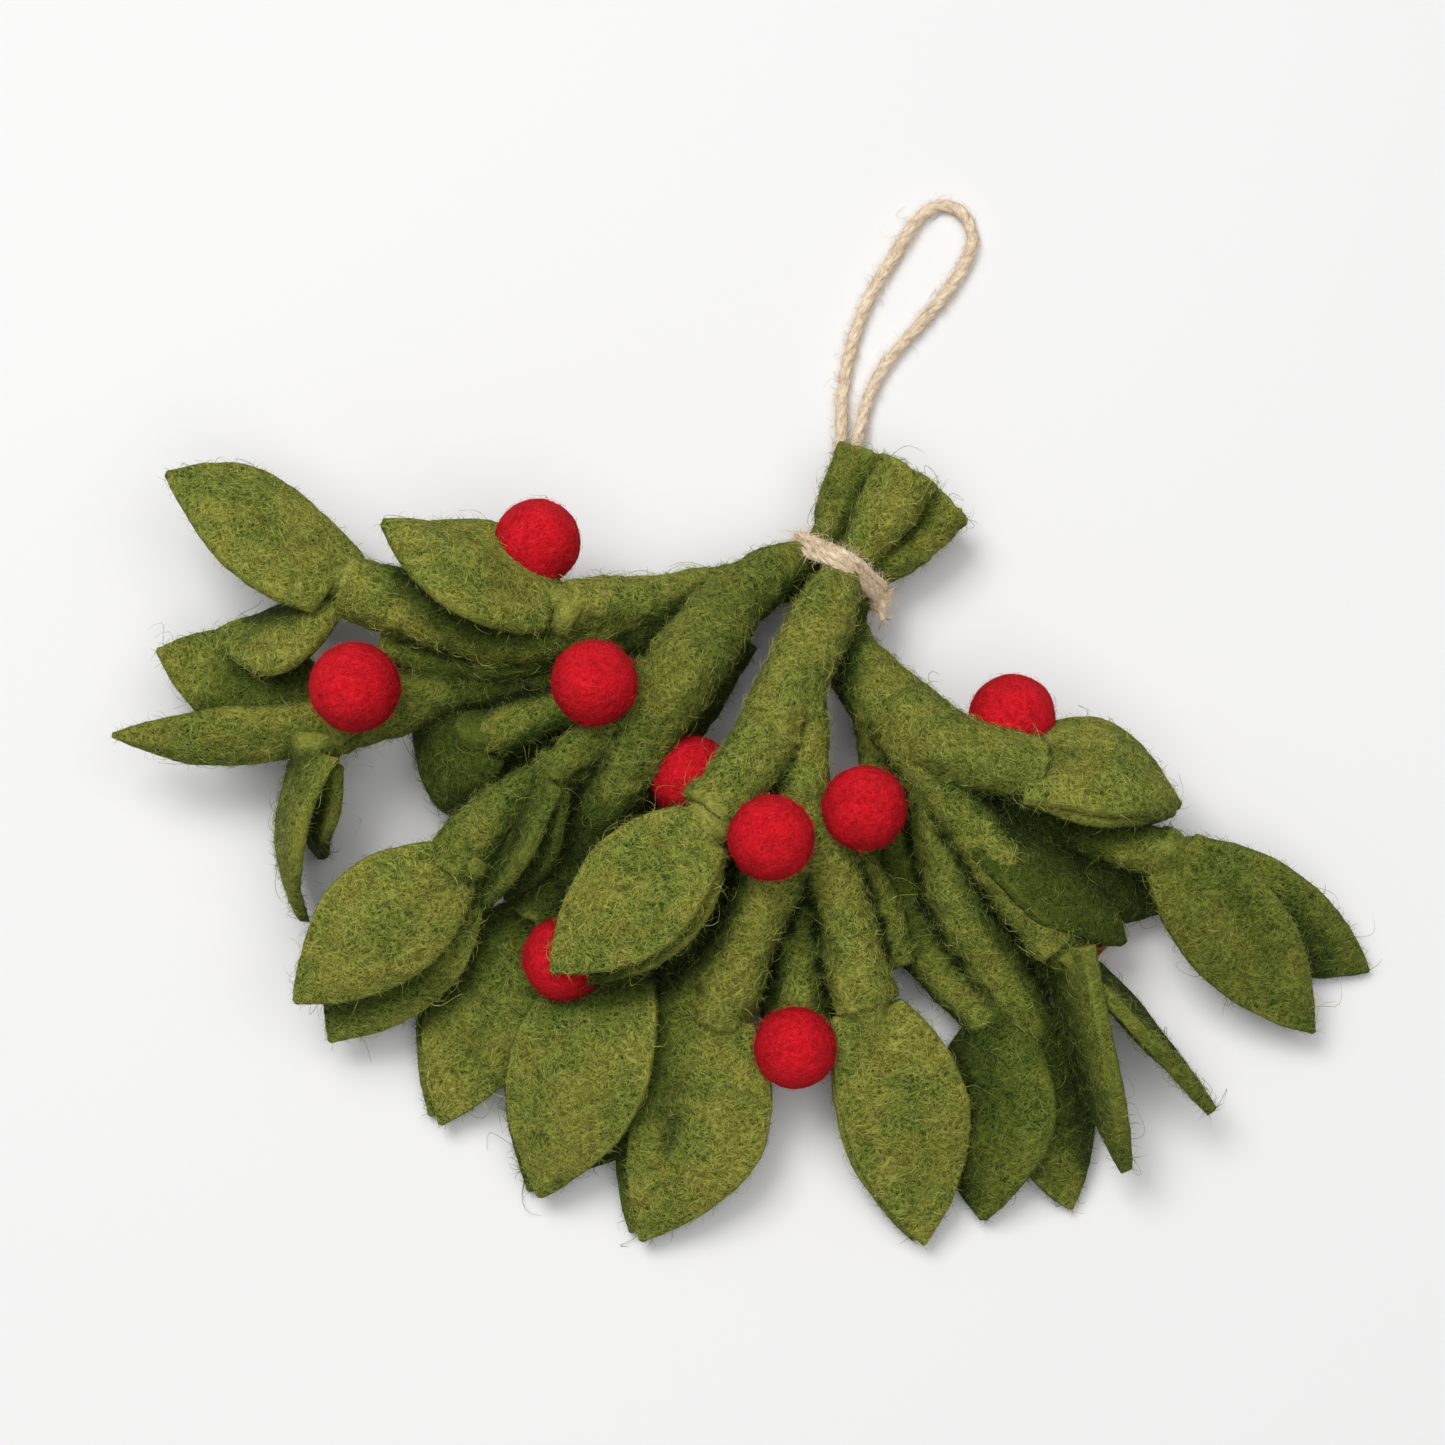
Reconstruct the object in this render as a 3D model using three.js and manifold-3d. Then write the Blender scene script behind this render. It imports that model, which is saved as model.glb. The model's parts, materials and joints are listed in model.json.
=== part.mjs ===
// A hanging bunch of felt mistletoe, laid down on its back: four forked stems with pairs of
// felt leaves, ten felt ball berries, a twine binding and a twine hanging loop.
// Millimetres, +Z up. The cut stem ends and the loop point along +Y, the leaves spread to -Y.
import * as THREE from "three";
import { mergeVertices } from "three/addons/utils/BufferGeometryUtils.js";
import Module from "manifold-3d";

// Driving dimensions
const leafWidth = 28;
const leafThickness = 2.8;
const leafFootShare = 0.45; // width of a leaf where it meets the stem, as a share of its full width
const leafWidest = 0.42; // how far along the leaf its widest place is
const leafTipShare = 0.05; // width of its blunt tip
const bellyCurve = 0.8;
const tipCurve = 0.85;
const edgeThinning = 0.25; // loss of thickness at the leaf's edges
const leafFootRise = 1.6; // height of an upper leaf over the middle of its foot
const pairSpacing = 3.2; // height of an upper leaf over the lower one where they meet
const tuftRadius = 4.6;
const tuftTaper = 0.55;
const tuftBack = 2;
const tuftFront = 7;
const berryDiameter = 18;
const twineDiameter = 2.7;
const bindingTurns = 2;
const gap = 0.3; // clearance between neighbouring pieces
const ropeSides = 8;
const tuftSides = 6;
const ropeStep = 9;
const bladeRows = 6;
const bladeColumns = [-1, -0.45, 0.45, 1];
const bunchShift = [-1.16, 0.15, 0]; // brings the middle of the bunch over the origin

const stemGreen = { color: 0x6b7a3c, roughness: 0.95, metalness: 0 };
const leafGreen = { color: 0x66783a, roughness: 0.95, metalness: 0 };
const berryRed = { color: 0xb8101c, roughness: 0.85, metalness: 0 };
const twineTan = { color: 0xbea07d, roughness: 0.9, metalness: 0 };

const wasm = await Module();
wasm.setup();

// ---- geometry helpers ----

function solidFrom(positions, triangles) {
  const geometry = new THREE.BufferGeometry();
  geometry.setAttribute("position", new THREE.Float32BufferAttribute(positions, 3));
  geometry.setIndex(triangles);
  return solidOf(geometry);
}

function solidOf(geometry) {
  const bare = geometry.clone();
  bare.deleteAttribute("normal");
  bare.deleteAttribute("uv");
  const merged = mergeVertices(bare, 1e-4);
  return new wasm.Manifold(
    new wasm.Mesh({
      numProp: 3,
      vertProperties: merged.attributes.position.array,
      triVerts: new Uint32Array(merged.index.array),
    }),
  );
}

function geometryOf(solid) {
  const mesh = solid.getMesh();
  const geometry = new THREE.BufferGeometry();
  geometry.setAttribute("position", new THREE.BufferAttribute(mesh.vertProperties, 3));
  geometry.setIndex(new THREE.BufferAttribute(mesh.triVerts, 1));
  return geometry;
}

function join(solids) {
  return solids.reduce((all, one) => all.add(one));
}

// Rings of points, each as long as the others, closed with a fan at either end.
function loft(rings) {
  const size = rings[0].length;
  const positions = rings.flat().flatMap((p) => [p.x, p.y, p.z]);
  const triangles = [];
  for (let i = 0; i + 1 < rings.length; i++) {
    for (let j = 0; j < size; j++) {
      const a = i * size + j;
      const b = i * size + ((j + 1) % size);
      triangles.push(a, b, b + size, a, b + size, a + size);
    }
  }
  const last = (rings.length - 1) * size;
  for (let j = 1; j + 1 < size; j++) {
    triangles.push(0, j + 1, j, last, last + j, last + j + 1);
  }
  return solidFrom(positions, triangles);
}

// A rolled felt rope through the given [x, y, z, radius] points, flat at both ends.
function rope(points, grow = 0, step = ropeStep, sides = ropeSides) {
  const curve = new THREE.CatmullRomCurve3(points.map((p) => new THREE.Vector3(p[0], p[1], p[2])));
  const steps = Math.max(points.length - 1, Math.round(curve.getLength() / step));
  const frames = curve.computeFrenetFrames(steps, false);
  const rings = [];
  for (let i = 0; i <= steps; i++) {
    const share = i / steps;
    const t = curve.getUtoTmapping(share) * (points.length - 1);
    const k = Math.min(Math.floor(t), points.length - 2);
    const radius = THREE.MathUtils.lerp(points[k][3], points[k + 1][3], t - k) + grow;
    const centre = curve.getPointAt(share);
    const past = i === 0 ? -grow : i === steps ? grow : 0;
    centre.addScaledVector(frames.tangents[i], past);
    rings.push(
      Array.from({ length: sides }, (_, j) => {
        const angle = (2 * Math.PI * j) / sides;
        return centre
          .clone()
          .addScaledVector(frames.normals[i], radius * Math.cos(angle))
          .addScaledVector(frames.binormals[i], radius * Math.sin(angle));
      }),
    );
  }
  return loft(rings);
}

// Width of a leaf at a share of its length: narrow foot, round belly, pointed tip.
function leafOutline(share) {
  if (share < leafWidest) {
    const rise = Math.sin((Math.PI / 2) * (share / leafWidest));
    return leafFootShare + (1 - leafFootShare) * Math.pow(rise, bellyCurve);
  }
  const fall = Math.cos((Math.PI / 2) * ((share - leafWidest) / (1 - leafWidest)));
  return Math.max(Math.pow(fall, tipCurve), leafTipShare);
}

// One thick felt leaf from foot to tip. roll turns it about that line, its right edge down.
// arch lifts its middle off the line, sway bends it sideways and cup lowers its edges.
function blade(leaf, grow = 0) {
  const { foot, tip, roll = 0, width = leafWidth, arch = 2, sway = 0, cup = 1.5 } = leaf;
  const start = new THREE.Vector3(...foot);
  const along = new THREE.Vector3(...tip).sub(start);
  const length = along.length();
  along.normalize();
  const level = new THREE.Vector3(0, 0, 1).addScaledVector(along, -along.z).normalize();
  const right = along.clone().cross(level);
  const angle = THREE.MathUtils.degToRad(roll);
  const face = level.clone().multiplyScalar(Math.cos(angle)).addScaledVector(right, Math.sin(angle));
  const side = along.clone().cross(face);
  const columns = bladeColumns.length;
  const positions = [];
  for (const top of [1, -1]) {
    for (let i = 0; i <= bladeRows; i++) {
      const share = i / bladeRows;
      const half = (width / 2) * leafOutline(share) + grow;
      const past = i === 0 ? -grow : i === bladeRows ? grow : 0;
      const bow = 4 * share * (1 - share);
      for (const x of bladeColumns) {
        const thick = (leafThickness / 2) * (1 - edgeThinning * x * x) + grow;
        const p = start.clone().addScaledVector(along, share * length + past);
        p.addScaledVector(side, x * half + sway * bow);
        p.addScaledVector(face, arch * bow - cup * x * x * leafOutline(share) + top * thick);
        positions.push(p.x, p.y, p.z);
      }
    }
  }
  const under = (bladeRows + 1) * columns;
  const triangles = [];
  for (let i = 0; i < bladeRows; i++) {
    for (let j = 0; j + 1 < columns; j++) {
      const a = i * columns + j;
      const b = a + 1;
      const c = b + columns;
      const d = a + columns;
      triangles.push(a, b, c, a, c, d);
      triangles.push(under + a, under + c, under + b, under + a, under + d, under + c);
    }
  }
  const wall = (a, b) => triangles.push(a, under + a, under + b, a, under + b, b);
  for (let i = 0; i < bladeRows; i++) {
    wall((i + 1) * columns, i * columns);
    wall(i * columns + columns - 1, (i + 1) * columns + columns - 1);
  }
  for (let j = 0; j + 1 < columns; j++) {
    wall(j, j + 1);
    wall(bladeRows * columns + j + 1, bladeRows * columns + j);
  }
  return solidFrom(positions, triangles);
}

// Two leaves that share a foot, with the tuft of wool that felts them into the stem's end.
function leafPair(pair, grow = 0) {
  const { foot, leaves, tuft = tuftRadius } = pair;
  const start = new THREE.Vector3(...foot);
  const middle = new THREE.Vector3();
  const parts = [];
  leaves.forEach((leaf, i) => {
    const tip = new THREE.Vector3(...leaf.tip);
    middle.add(tip);
    const rise = leafFootRise - i * pairSpacing;
    parts.push(blade({ ...leaf, foot: [foot[0], foot[1], foot[2] + rise] }, grow));
  });
  middle.multiplyScalar(1 / leaves.length).sub(start).normalize();
  const back = start.clone().addScaledVector(middle, -tuftBack);
  const front = start.clone().addScaledVector(middle, tuftFront);
  const wool = [[...back, tuft], [...start, tuft], [...front, tuftTaper * tuft]];
  parts.push(rope(wool, grow, ropeStep, tuftSides));
  return join(parts);
}

function berry(centre, grow = 0) {
  const ball = new THREE.IcosahedronGeometry(berryDiameter / 2 + grow, 2);
  ball.translate(...centre);
  return solidOf(ball);
}

// ---- stems: [x, y, z, radius] along each branch, the cut end of the main one first ----

const stems = {
  stem_upper_left: [
    [[36, 72, 7.6, 5.6], [29, 64, 7.2, 4.8], [22.5, 56.5, 7.1, 4.2], [13, 56, 6.8, 4.2], [2, 54.5, 9, 4.2],
      [-10, 51.5, 15, 4], [-21, 49, 22, 4], [-29, 47, 27, 4.3], [-36, 45, 31, 4.3]],
    [[-21, 49, 21, 3.8], [-34, 41, 26, 4.7], [-45, 36, 28, 4.8], [-58, 37, 28, 4.8],
      [-69, 44, 28, 4.7], [-80, 52, 28, 4.4]],
  ],
  stem_left: [
    [[26, 82, 15, 5.8], [22, 72, 13.8, 5], [16.7, 60.2, 12.7, 4.2], [8, 56, 17, 5.2], [0, 49, 22, 6],
      [-6, 40, 27, 6.8], [-13, 30, 30, 7], [-20, 19, 30, 6.6], [-26, 8, 28, 6], [-32, -4, 25, 5.2],
      [-38, -13, 22, 4.8]],
    [[-15, 31, 27, 5], [-27, 30, 20, 5], [-41, 30, 18.5, 4.7], [-54, 30, 18, 4.7], [-66, 29, 19, 4.7],
      [-77, 25, 21, 5.2], [-84, 21, 22, 4.6]],
    [[-24, 23, 25, 4], [-36, 23, 21, 4.6], [-47, 21, 20, 4.4], [-54, 19, 21.5, 3.6]],
    [[-23, 16, 27, 4.4], [-34, 12, 25, 4.4], [-44, 6, 25, 4.5], [-51, -1, 26, 4.5], [-55, -7, 27, 4.4]],
    [[-25, 20, 29, 3], [-32, 17, 32, 3], [-38, 12, 32, 3]],
    [[-1, 41, 20, 4.8], [-9, 28, 16, 5.2], [-17, 18, 14, 5.2], [-23, 7, 15, 5.2], [-26, -5, 17, 5],
      [-27, -16, 18, 4.8], [-27, -27, 19, 4.6]],
  ],
  stem_centre: [
    [[36, 77, 19.6, 6], [29, 67, 18.8, 5], [22.5, 56.5, 18.3, 4.2], [18, 47, 22, 6.6], [14, 37, 26, 6.6],
      [9.5, 27, 30, 6.8], [5.5, 17, 33, 6], [-1, 8, 36, 5.2], [-7, 1, 38, 4.8]],
    [[11, 30, 28, 6], [12, 16, 29, 5.8], [12, 6, 29, 5.6], [10, -4, 27, 5.4], [5.5, -14, 25, 5.4],
      [0.5, -24, 21, 5.2], [-6, -37, 18, 4.6]],
    [[13, 8, 28, 5], [17, -4, 25, 5.6], [21, -16, 22, 5.7], [24, -27, 20, 5.3], [26, -36, 18, 4.8]],
    [[10, -1, 24, 4.2], [1, -11, 18, 4.4], [-7, -22, 14, 4.2], [-11, -32, 12, 3.8]],
    [[13, 2, 24, 4], [13, -14, 17, 4.2], [12, -26, 15, 3.8], [12, -36, 13.5, 3.4]],
    [[14, 6, 23, 4.2], [23, -6, 17, 4.4], [29, -17, 14, 4.4], [32, -29, 11, 3.8]],
  ],
  stem_right: [
    [[44, 71, 13.4, 6.4], [37, 62.5, 13, 5.4], [28.3, 52.8, 12.7, 4.2], [23, 45, 11.6, 4.6],
      [21.5, 37.5, 12.6, 5.2], [25, 30.5, 17, 6.2], [33, 23, 24, 6.8], [44, 16, 31, 6], [55, 12, 34, 4.8]],
    [[33, 22, 26, 5.4], [42, 9, 27, 5.6], [51, -4, 26, 5.4], [59, -15, 24, 5], [66, -24, 22, 4.4]],
    [[40, 18, 27, 4.6], [54, 8, 20, 4.6], [66, 2, 19, 4.5], [78, -2, 20, 4.4], [88, -5, 20, 4.2]],
    [[28, 27, 20, 4.8], [30, 18, 16, 5], [32, 7, 13, 5], [34, -6, 11, 5], [37, -19, 9.5, 4.8],
      [44, -30, 8.5, 4.4], [52, -38, 8.5, 4.2]],
    [[37, 16, 25, 4.8], [41, 3, 20, 5.4], [46, -15, 16, 5.6], [55, -29, 11.5, 4.8], [63, -42, 9, 4]],
    [[42, 9, 26, 4.4], [50, 2, 23, 4]],
    [[52, 9, 20, 4], [58, 4, 15.5, 3.8]],
  ],
};

// ---- pairs of leaves, upper leaf first ----

const pairs = {
  leaves_far_left_upper: {
    foot: [-81, 53, 28],
    leaves: [
      { tip: [-119, 75, 25], roll: 36, width: 26, arch: 3, sway: -0.8 },
      { tip: [-112, 44, 1.1], roll: 0, width: 19, arch: 5, sway: -4 },
    ],
  },
  leaves_front_left: {
    foot: [-37, 45, 31.5],
    leaves: [
      { tip: [-74, 62, 37], roll: 40, width: 27, arch: 4, sway: -2.6, cup: 2 },
      { tip: [-66, 62, 24], roll: 34, width: 22, arch: 3 },
    ],
  },
  leaves_far_left_middle: {
    foot: [-85, 22, 22],
    leaves: [
      { tip: [-130, 21, 21], roll: -74, arch: 2 },
      { tip: [-124, 42, 1.1], roll: 0, arch: 3 },
    ],
  },
  leaves_far_left_lower: {
    foot: [-86.5, 18.5, 21],
    leaves: [
      { tip: [-91, -17, 11], roll: 80, width: 24, arch: 5.5 },
      { tip: [-84, -4, 1], roll: 75, width: 22, arch: 2 },
    ],
  },
  leaves_left_curled: {
    foot: [-55, 19, 22],
    tuft: 3.8,
    leaves: [
      { tip: [-59, 4, 2], roll: 50, width: 22, arch: 6 },
      { tip: [-47, 8, 2], roll: -20, width: 20, arch: 3 },
    ],
  },
  leaves_left_narrow: {
    foot: [-38, 12, 32],
    tuft: 3.4,
    leaves: [
      { tip: [-51, -17, 21], roll: 70, width: 18, arch: 2 },
      { tip: [-49, -17, 17], roll: 70, width: 16, arch: 1 },
    ],
  },
  leaves_left_broad: {
    foot: [-56, -8, 27],
    leaves: [
      { tip: [-91, -35, 22], roll: -12, arch: 3, cup: 2.5 },
      { tip: [-85, -42, 9], roll: -10, arch: 3 },
    ],
  },
  leaves_left_lower: {
    foot: [-39, -15, 21.5],
    leaves: [
      { tip: [-62, -59, 8], roll: 10, arch: 3 },
      { tip: [-64, -57, 4], roll: 10, arch: 3 },
    ],
  },
  leaves_middle_top: {
    foot: [-7, 1, 38],
    leaves: [
      { tip: [-38, -29, 31], roll: 12, arch: 4, cup: 2 },
      { tip: [-34, -32, 25], roll: 12, arch: 2 },
    ],
  },
  leaves_middle_left: {
    foot: [-26, -28, 19],
    leaves: [
      { tip: [-42, -74, 5], roll: 10, arch: 3 },
      { tip: [-44, -73, 1.1], roll: 10, arch: 3 },
    ],
  },
  leaves_middle_lower: {
    foot: [-6, -38, 18],
    leaves: [
      { tip: [-21, -83, 4], roll: 0, arch: 3, sway: -3.5 },
      { tip: [-23, -81, 1.1], roll: 5, arch: 3, sway: -2 },
    ],
  },
  leaves_middle_under: {
    foot: [-12, -33, 12],
    tuft: 3.8,
    leaves: [
      { tip: [-31, -68, 1.5], roll: 0, width: 24, arch: 2 },
    ],
  },
  leaves_middle_right: {
    foot: [26, -37, 18],
    leaves: [
      { tip: [38, -84, 4], roll: 0, width: 26, arch: 3, sway: -2.5 },
      { tip: [36, -83, 1.1], roll: -5, width: 26, arch: 3, sway: -2 },
    ],
  },
  leaves_right_lower: {
    foot: [52, -38, 9],
    leaves: [
      { tip: [51, -79, 3], roll: 30, arch: 4, cup: 4 },
    ],
  },
  leaves_right_under: {
    foot: [63, -42, 9],
    leaves: [
      { tip: [70, -77, 1.1], roll: -10, width: 24, arch: 3, sway: 2 },
    ],
  },
  leaves_right_upright: {
    foot: [66, -24, 22],
    leaves: [
      { tip: [79, -69, 13], roll: 86, arch: 2 },
      { tip: [97, -57, 13], roll: 88, arch: -1 },
    ],
  },
  leaves_right_inner: {
    foot: [50, 2, 23],
    tuft: 4,
    leaves: [
      { tip: [79, -21, 14], roll: -55, width: 24, arch: 3 },
    ],
  },
  leaves_right_hidden: {
    foot: [58, 4, 15],
    tuft: 4,
    leaves: [
      { tip: [87, -15, 6], roll: 0, arch: 3 },
    ],
  },
  leaves_right_top: {
    foot: [55, 12, 34],
    leaves: [
      { tip: [91, 5, 21], roll: -35, arch: 5, sway: 1, cup: 2 },
      { tip: [89, 4, 18], roll: -35, arch: 4 },
    ],
  },
  leaves_far_right: {
    foot: [89, -5, 20],
    leaves: [
      { tip: [119, -40, 7], roll: 5, arch: 3 },
      { tip: [132, -26, 1.1], roll: 32, width: 26, arch: 3 },
    ],
  },
};

const berries = [
  [-42.4, 58, 29],
  [-78, 28, 34.5],
  [-29, 27, 40],
  [-10, 11, 23.5],
  [6, -3, 40],
  [25, 3, 33],
  [56, 23, 26],
  [11, -44, 14],
  [-37.5, -26, 21],
  [71, -24, 9.6],
];

// ---- twine ----

// The binding runs round the four stems at their narrowest place.
const tieCentre = new THREE.Vector3(22.5, 56.5, 0);
const tieAcross = new THREE.Vector3(0.84, -0.54, 0).normalize();
const tieAlong = new THREE.Vector3(-0.54, -0.84, 0).normalize();
const tieRadius = 4.2;
const tieStems = [[-6.9, 12.7], [0, 18.3], [6.9, 12.7], [0, 7.1]];

function tiePoint(angle, along, off) {
  const out = [Math.cos(angle), Math.sin(angle)];
  const reach = ([x, z]) => x * out[0] + z * out[1];
  const [x, z] = tieStems.reduce((best, stem) => (reach(stem) > reach(best) ? stem : best));
  const r = tieRadius + off;
  const point = tieCentre.clone().addScaledVector(tieAcross, x + r * out[0]);
  point.addScaledVector(tieAlong, along);
  point.z = z + r * out[1];
  return point;
}

const twineSides = 8;
const bindingSides = 6;
const twineStep = 4.2;
const bindingPitch = twineDiameter + 0.25;
const bindingAlong = 1.4; // from the stems' narrowest place towards the leaves
const bindingOff = twineDiameter / 2 + 0.9; // twine axis outside the stems' skin
const knotAngle = -0.25;
const knotAlong = 0.5;
const knotLift = 0.9;
const knotWidth = 5.8;
const knotLength = 6.8;
const pointsPerTurn = 16;

function binding(grow = 0) {
  const count = bindingTurns * pointsPerTurn;
  const wraps = [];
  for (let i = 0; i <= count; i++) {
    const angle = knotAngle + (2 * Math.PI * i) / pointsPerTurn;
    const along = bindingAlong + bindingPitch * (i / pointsPerTurn - bindingTurns / 2);
    wraps.push([...tiePoint(angle, along, bindingOff), twineDiameter / 2]);
  }
  const knot = tiePoint(knotAngle, bindingAlong + knotAlong, bindingOff + knotLift);
  const ends = [
    [[0, 0, 0, 1.3], [0.3, -3, 0.5, 1.2], [-0.6, -6, -0.5, 1]],
    [[0, 0, 0, 1.3], [2, 0.4, -1, 1.2], [4.6, 1, -3, 1.2]],
  ];
  const atKnot = ([x, y, z, radius]) => [knot.x + x, knot.y + y, knot.z + z, radius];
  const lump = new THREE.IcosahedronGeometry(1, 1);
  lump.scale(knotWidth / 2 + grow, knotLength / 2 + grow, knotWidth / 2 + grow);
  lump.translate(...knot);
  return join([
    rope(wraps, grow, twineStep, bindingSides),
    solidOf(lump),
    ...ends.map((end) => rope(end.map(atKnot), grow, twineStep, bindingSides)),
  ]);
}

// The hanging loop leaves from under the left stem's cut end, lies on the surface and comes back.
const loopRoute = [
  [17.4, 65.1, 4.6], [18.6, 74, 3.8], [21.5, 85, 2.6], [22, 95, 1.6], [23, 103, 1.5], [25, 111, 1.5],
  [28, 119, 1.5], [32, 126, 1.5], [36, 132.5, 1.5], [39.5, 137.5, 1.5], [44, 140, 1.5], [48.5, 138, 1.5],
  [50.5, 132.5, 1.5], [48.5, 126, 1.5], [43.5, 118.5, 1.5], [37, 111, 1.5], [31, 103.5, 1.5],
  [27.5, 96, 1.7], [25.5, 88, 2.8], [23, 76, 5], [19.6, 64.2, 6.6],
];
const loopSteps = 28;

function hangingLoop() {
  const path = new THREE.CatmullRomCurve3(loopRoute.map((p) => new THREE.Vector3(...p)));
  const section = new THREE.Shape(
    Array.from({ length: twineSides }, (_, j) => {
      const angle = (2 * Math.PI * (j + 0.5)) / twineSides;
      const radius = twineDiameter / 2;
      return new THREE.Vector2(radius * Math.cos(angle), radius * Math.sin(angle));
    }),
  );
  const tube = new THREE.ExtrudeGeometry(section, { extrudePath: path, steps: loopSteps });
  return solidOf(tube);
}

// ---- assembly: a later piece is cut back from the ones before it, so all keep their gap ----

const pieces = [
  ...Object.entries(stems).map(([name, branches]) => ({
    name,
    finish: stemGreen,
    make: (grow) => join(branches.map((branch) => rope(branch, grow))),
  })),
  { name: "binding_twine", finish: twineTan, make: binding },
  { name: "hanging_loop", finish: twineTan, make: hangingLoop },
  ...berries.map((centre, i) => ({
    name: `berry_${i + 1}`,
    finish: berryRed,
    make: (grow) => berry(centre, grow),
  })),
  ...Object.entries(pairs).map(([name, pair]) => ({
    name,
    finish: leafGreen,
    make: (grow) => leafPair(pair, grow),
  })),
];

const groundSize = 400;
const groundDepth = 40;
const ground = new THREE.BoxGeometry(groundSize, groundSize, groundDepth);
ground.translate(0, 0, -groundDepth / 2);
const below = solidOf(ground);

const bunch = new THREE.Group();
const placed = [];
for (const { name, finish, make } of pieces) {
  let solid = make(0).subtract(below);
  for (const other of placed) {
    if (solid.intersect(other).volume() > 0) {
      solid = solid.subtract(other);
    }
  }
  const [largest] = solid.decompose().sort((a, b) => b.volume() - a.volume());
  placed.push(make(gap));
  const mesh = new THREE.Mesh(geometryOf(largest), new THREE.MeshStandardMaterial(finish));
  mesh.name = name;
  bunch.add(mesh);
}
bunch.position.set(...bunchShift);

const part = new THREE.Group();
part.add(bunch);
export default part;
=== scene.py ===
import json
import math
import random
import bmesh
import bpy
import numpy as np
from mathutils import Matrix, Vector, noise

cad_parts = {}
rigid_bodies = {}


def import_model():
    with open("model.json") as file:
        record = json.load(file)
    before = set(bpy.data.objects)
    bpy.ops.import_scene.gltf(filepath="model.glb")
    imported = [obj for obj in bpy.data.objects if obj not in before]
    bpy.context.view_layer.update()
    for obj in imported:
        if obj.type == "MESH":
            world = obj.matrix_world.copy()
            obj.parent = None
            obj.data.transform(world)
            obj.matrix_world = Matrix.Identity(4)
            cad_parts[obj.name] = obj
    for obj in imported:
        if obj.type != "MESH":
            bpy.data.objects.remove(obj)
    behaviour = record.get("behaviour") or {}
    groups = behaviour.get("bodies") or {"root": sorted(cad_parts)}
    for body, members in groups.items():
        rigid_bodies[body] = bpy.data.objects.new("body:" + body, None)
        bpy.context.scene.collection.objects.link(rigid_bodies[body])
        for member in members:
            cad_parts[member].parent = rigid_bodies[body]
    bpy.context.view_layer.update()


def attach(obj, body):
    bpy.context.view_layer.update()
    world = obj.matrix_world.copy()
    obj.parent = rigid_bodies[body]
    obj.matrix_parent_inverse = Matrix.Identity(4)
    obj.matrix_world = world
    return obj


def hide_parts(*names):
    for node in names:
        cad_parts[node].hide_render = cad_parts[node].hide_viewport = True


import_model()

# A felt mistletoe bunch lying on its back: forked stems, paired leaves and ball berries of
# wool felt, a twine binding with a knot, and a twine hanging loop. The tables are in
# millimetres, the objects in metres.

seeds = {"frays": 11, "stems": 20, "leaves": 40, "berries": 80, "loop": 3, "binding": 7}
random.seed(seeds["frays"])
millimetre = 0.001
perSquare = 1e6  # from a square millimetre to a square metre
bunchShift = np.array([-1.16, 0.15, 0.0])  # brings the middle of the bunch over the origin


def addObject(name, data):
    made = bpy.data.objects.new(name, data)
    bpy.context.scene.collection.objects.link(made)
    return made


def unit(way):
    return np.array(way, float) / np.linalg.norm(way)


def between(t, start, end, a, b):
    return ((end - t) * a + (t - start) * b) / (end - start)


viewpoint = {
    "place": (-0.004864, -0.090139, 0.735828), "tilt": 9, "lens": 87.2, "sensor": 36, "nearest": 0.01,
}

cameraData = bpy.data.cameras.new("camera")
cameraData.lens = viewpoint["lens"]
cameraData.sensor_width = viewpoint["sensor"]
cameraData.clip_start = viewpoint["nearest"]
camera = addObject("camera", cameraData)
camera.location = viewpoint["place"]
camera.rotation_euler = (math.radians(viewpoint["tilt"]), 0, 0)
bpy.context.scene.camera = camera
print("camera placed")


def smoothLine(points, step):
    # an even run of points on a smooth curve through the given ones, extra columns and all
    p = np.array(points, float)
    p = np.vstack([2 * p[0] - p[1], p, 2 * p[-1] - p[-2]])
    knots = [0.0]
    for a, b in zip(p[:-1, :3], p[1:, :3]):
        knots.append(knots[-1] + max(np.linalg.norm(b - a), 1e-6) ** 0.5)
    dense = []
    for i in range(1, len(p) - 2):
        t0, t1, t2, t3 = knots[i - 1:i + 3]
        for t in np.linspace(t1, t2, 24, endpoint=i == len(p) - 3):
            a = between(t, t0, t1, p[i - 1], p[i])
            b = between(t, t1, t2, p[i], p[i + 1])
            c = between(t, t2, t3, p[i + 1], p[i + 2])
            dense.append(between(t, t1, t2, between(t, t0, t2, a, b), between(t, t1, t3, b, c)))
    dense = np.array(dense)
    pieces = np.linalg.norm(np.diff(dense[:, :3], axis=0), axis=1)
    run = np.concatenate([[0], np.cumsum(pieces)])
    even = np.linspace(0, run[-1], max(3, int(round(run[-1] / step)) + 1))
    return np.column_stack([np.interp(even, run, dense[:, k]) for k in range(dense.shape[1])])


def frameAlong(line):
    # two directions across the line at each point, turned as little as possible on the way
    tangents = np.gradient(line, axis=0)
    tangents /= np.linalg.norm(tangents, axis=1)[:, None]
    normal = np.cross(tangents[0], (0.3, 0.2, 1.0))
    normals = []
    for tangent in tangents:
        normal = unit(normal - tangent * np.dot(normal, tangent))
        normals.append(normal)
    normals = np.array(normals)
    return normals, np.cross(tangents, normals)


def loft(rings):
    # a closed shell through rings of points: vertices, faces, (along, around) of each corner
    last, around = len(rings) - 1, range(len(rings[0]))
    corners = [((i, j), (i, j + 1), (i + 1, j + 1), (i + 1, j)) for i in range(last) for j in around]
    corners += [[(0, j) for j in reversed(around)], [(last, j) for j in around]]
    faces = [tuple(i * len(around) + j % len(around) for i, j in face) for face in corners]
    return np.concatenate(rings), faces, [corner for face in corners for corner in face]


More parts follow.
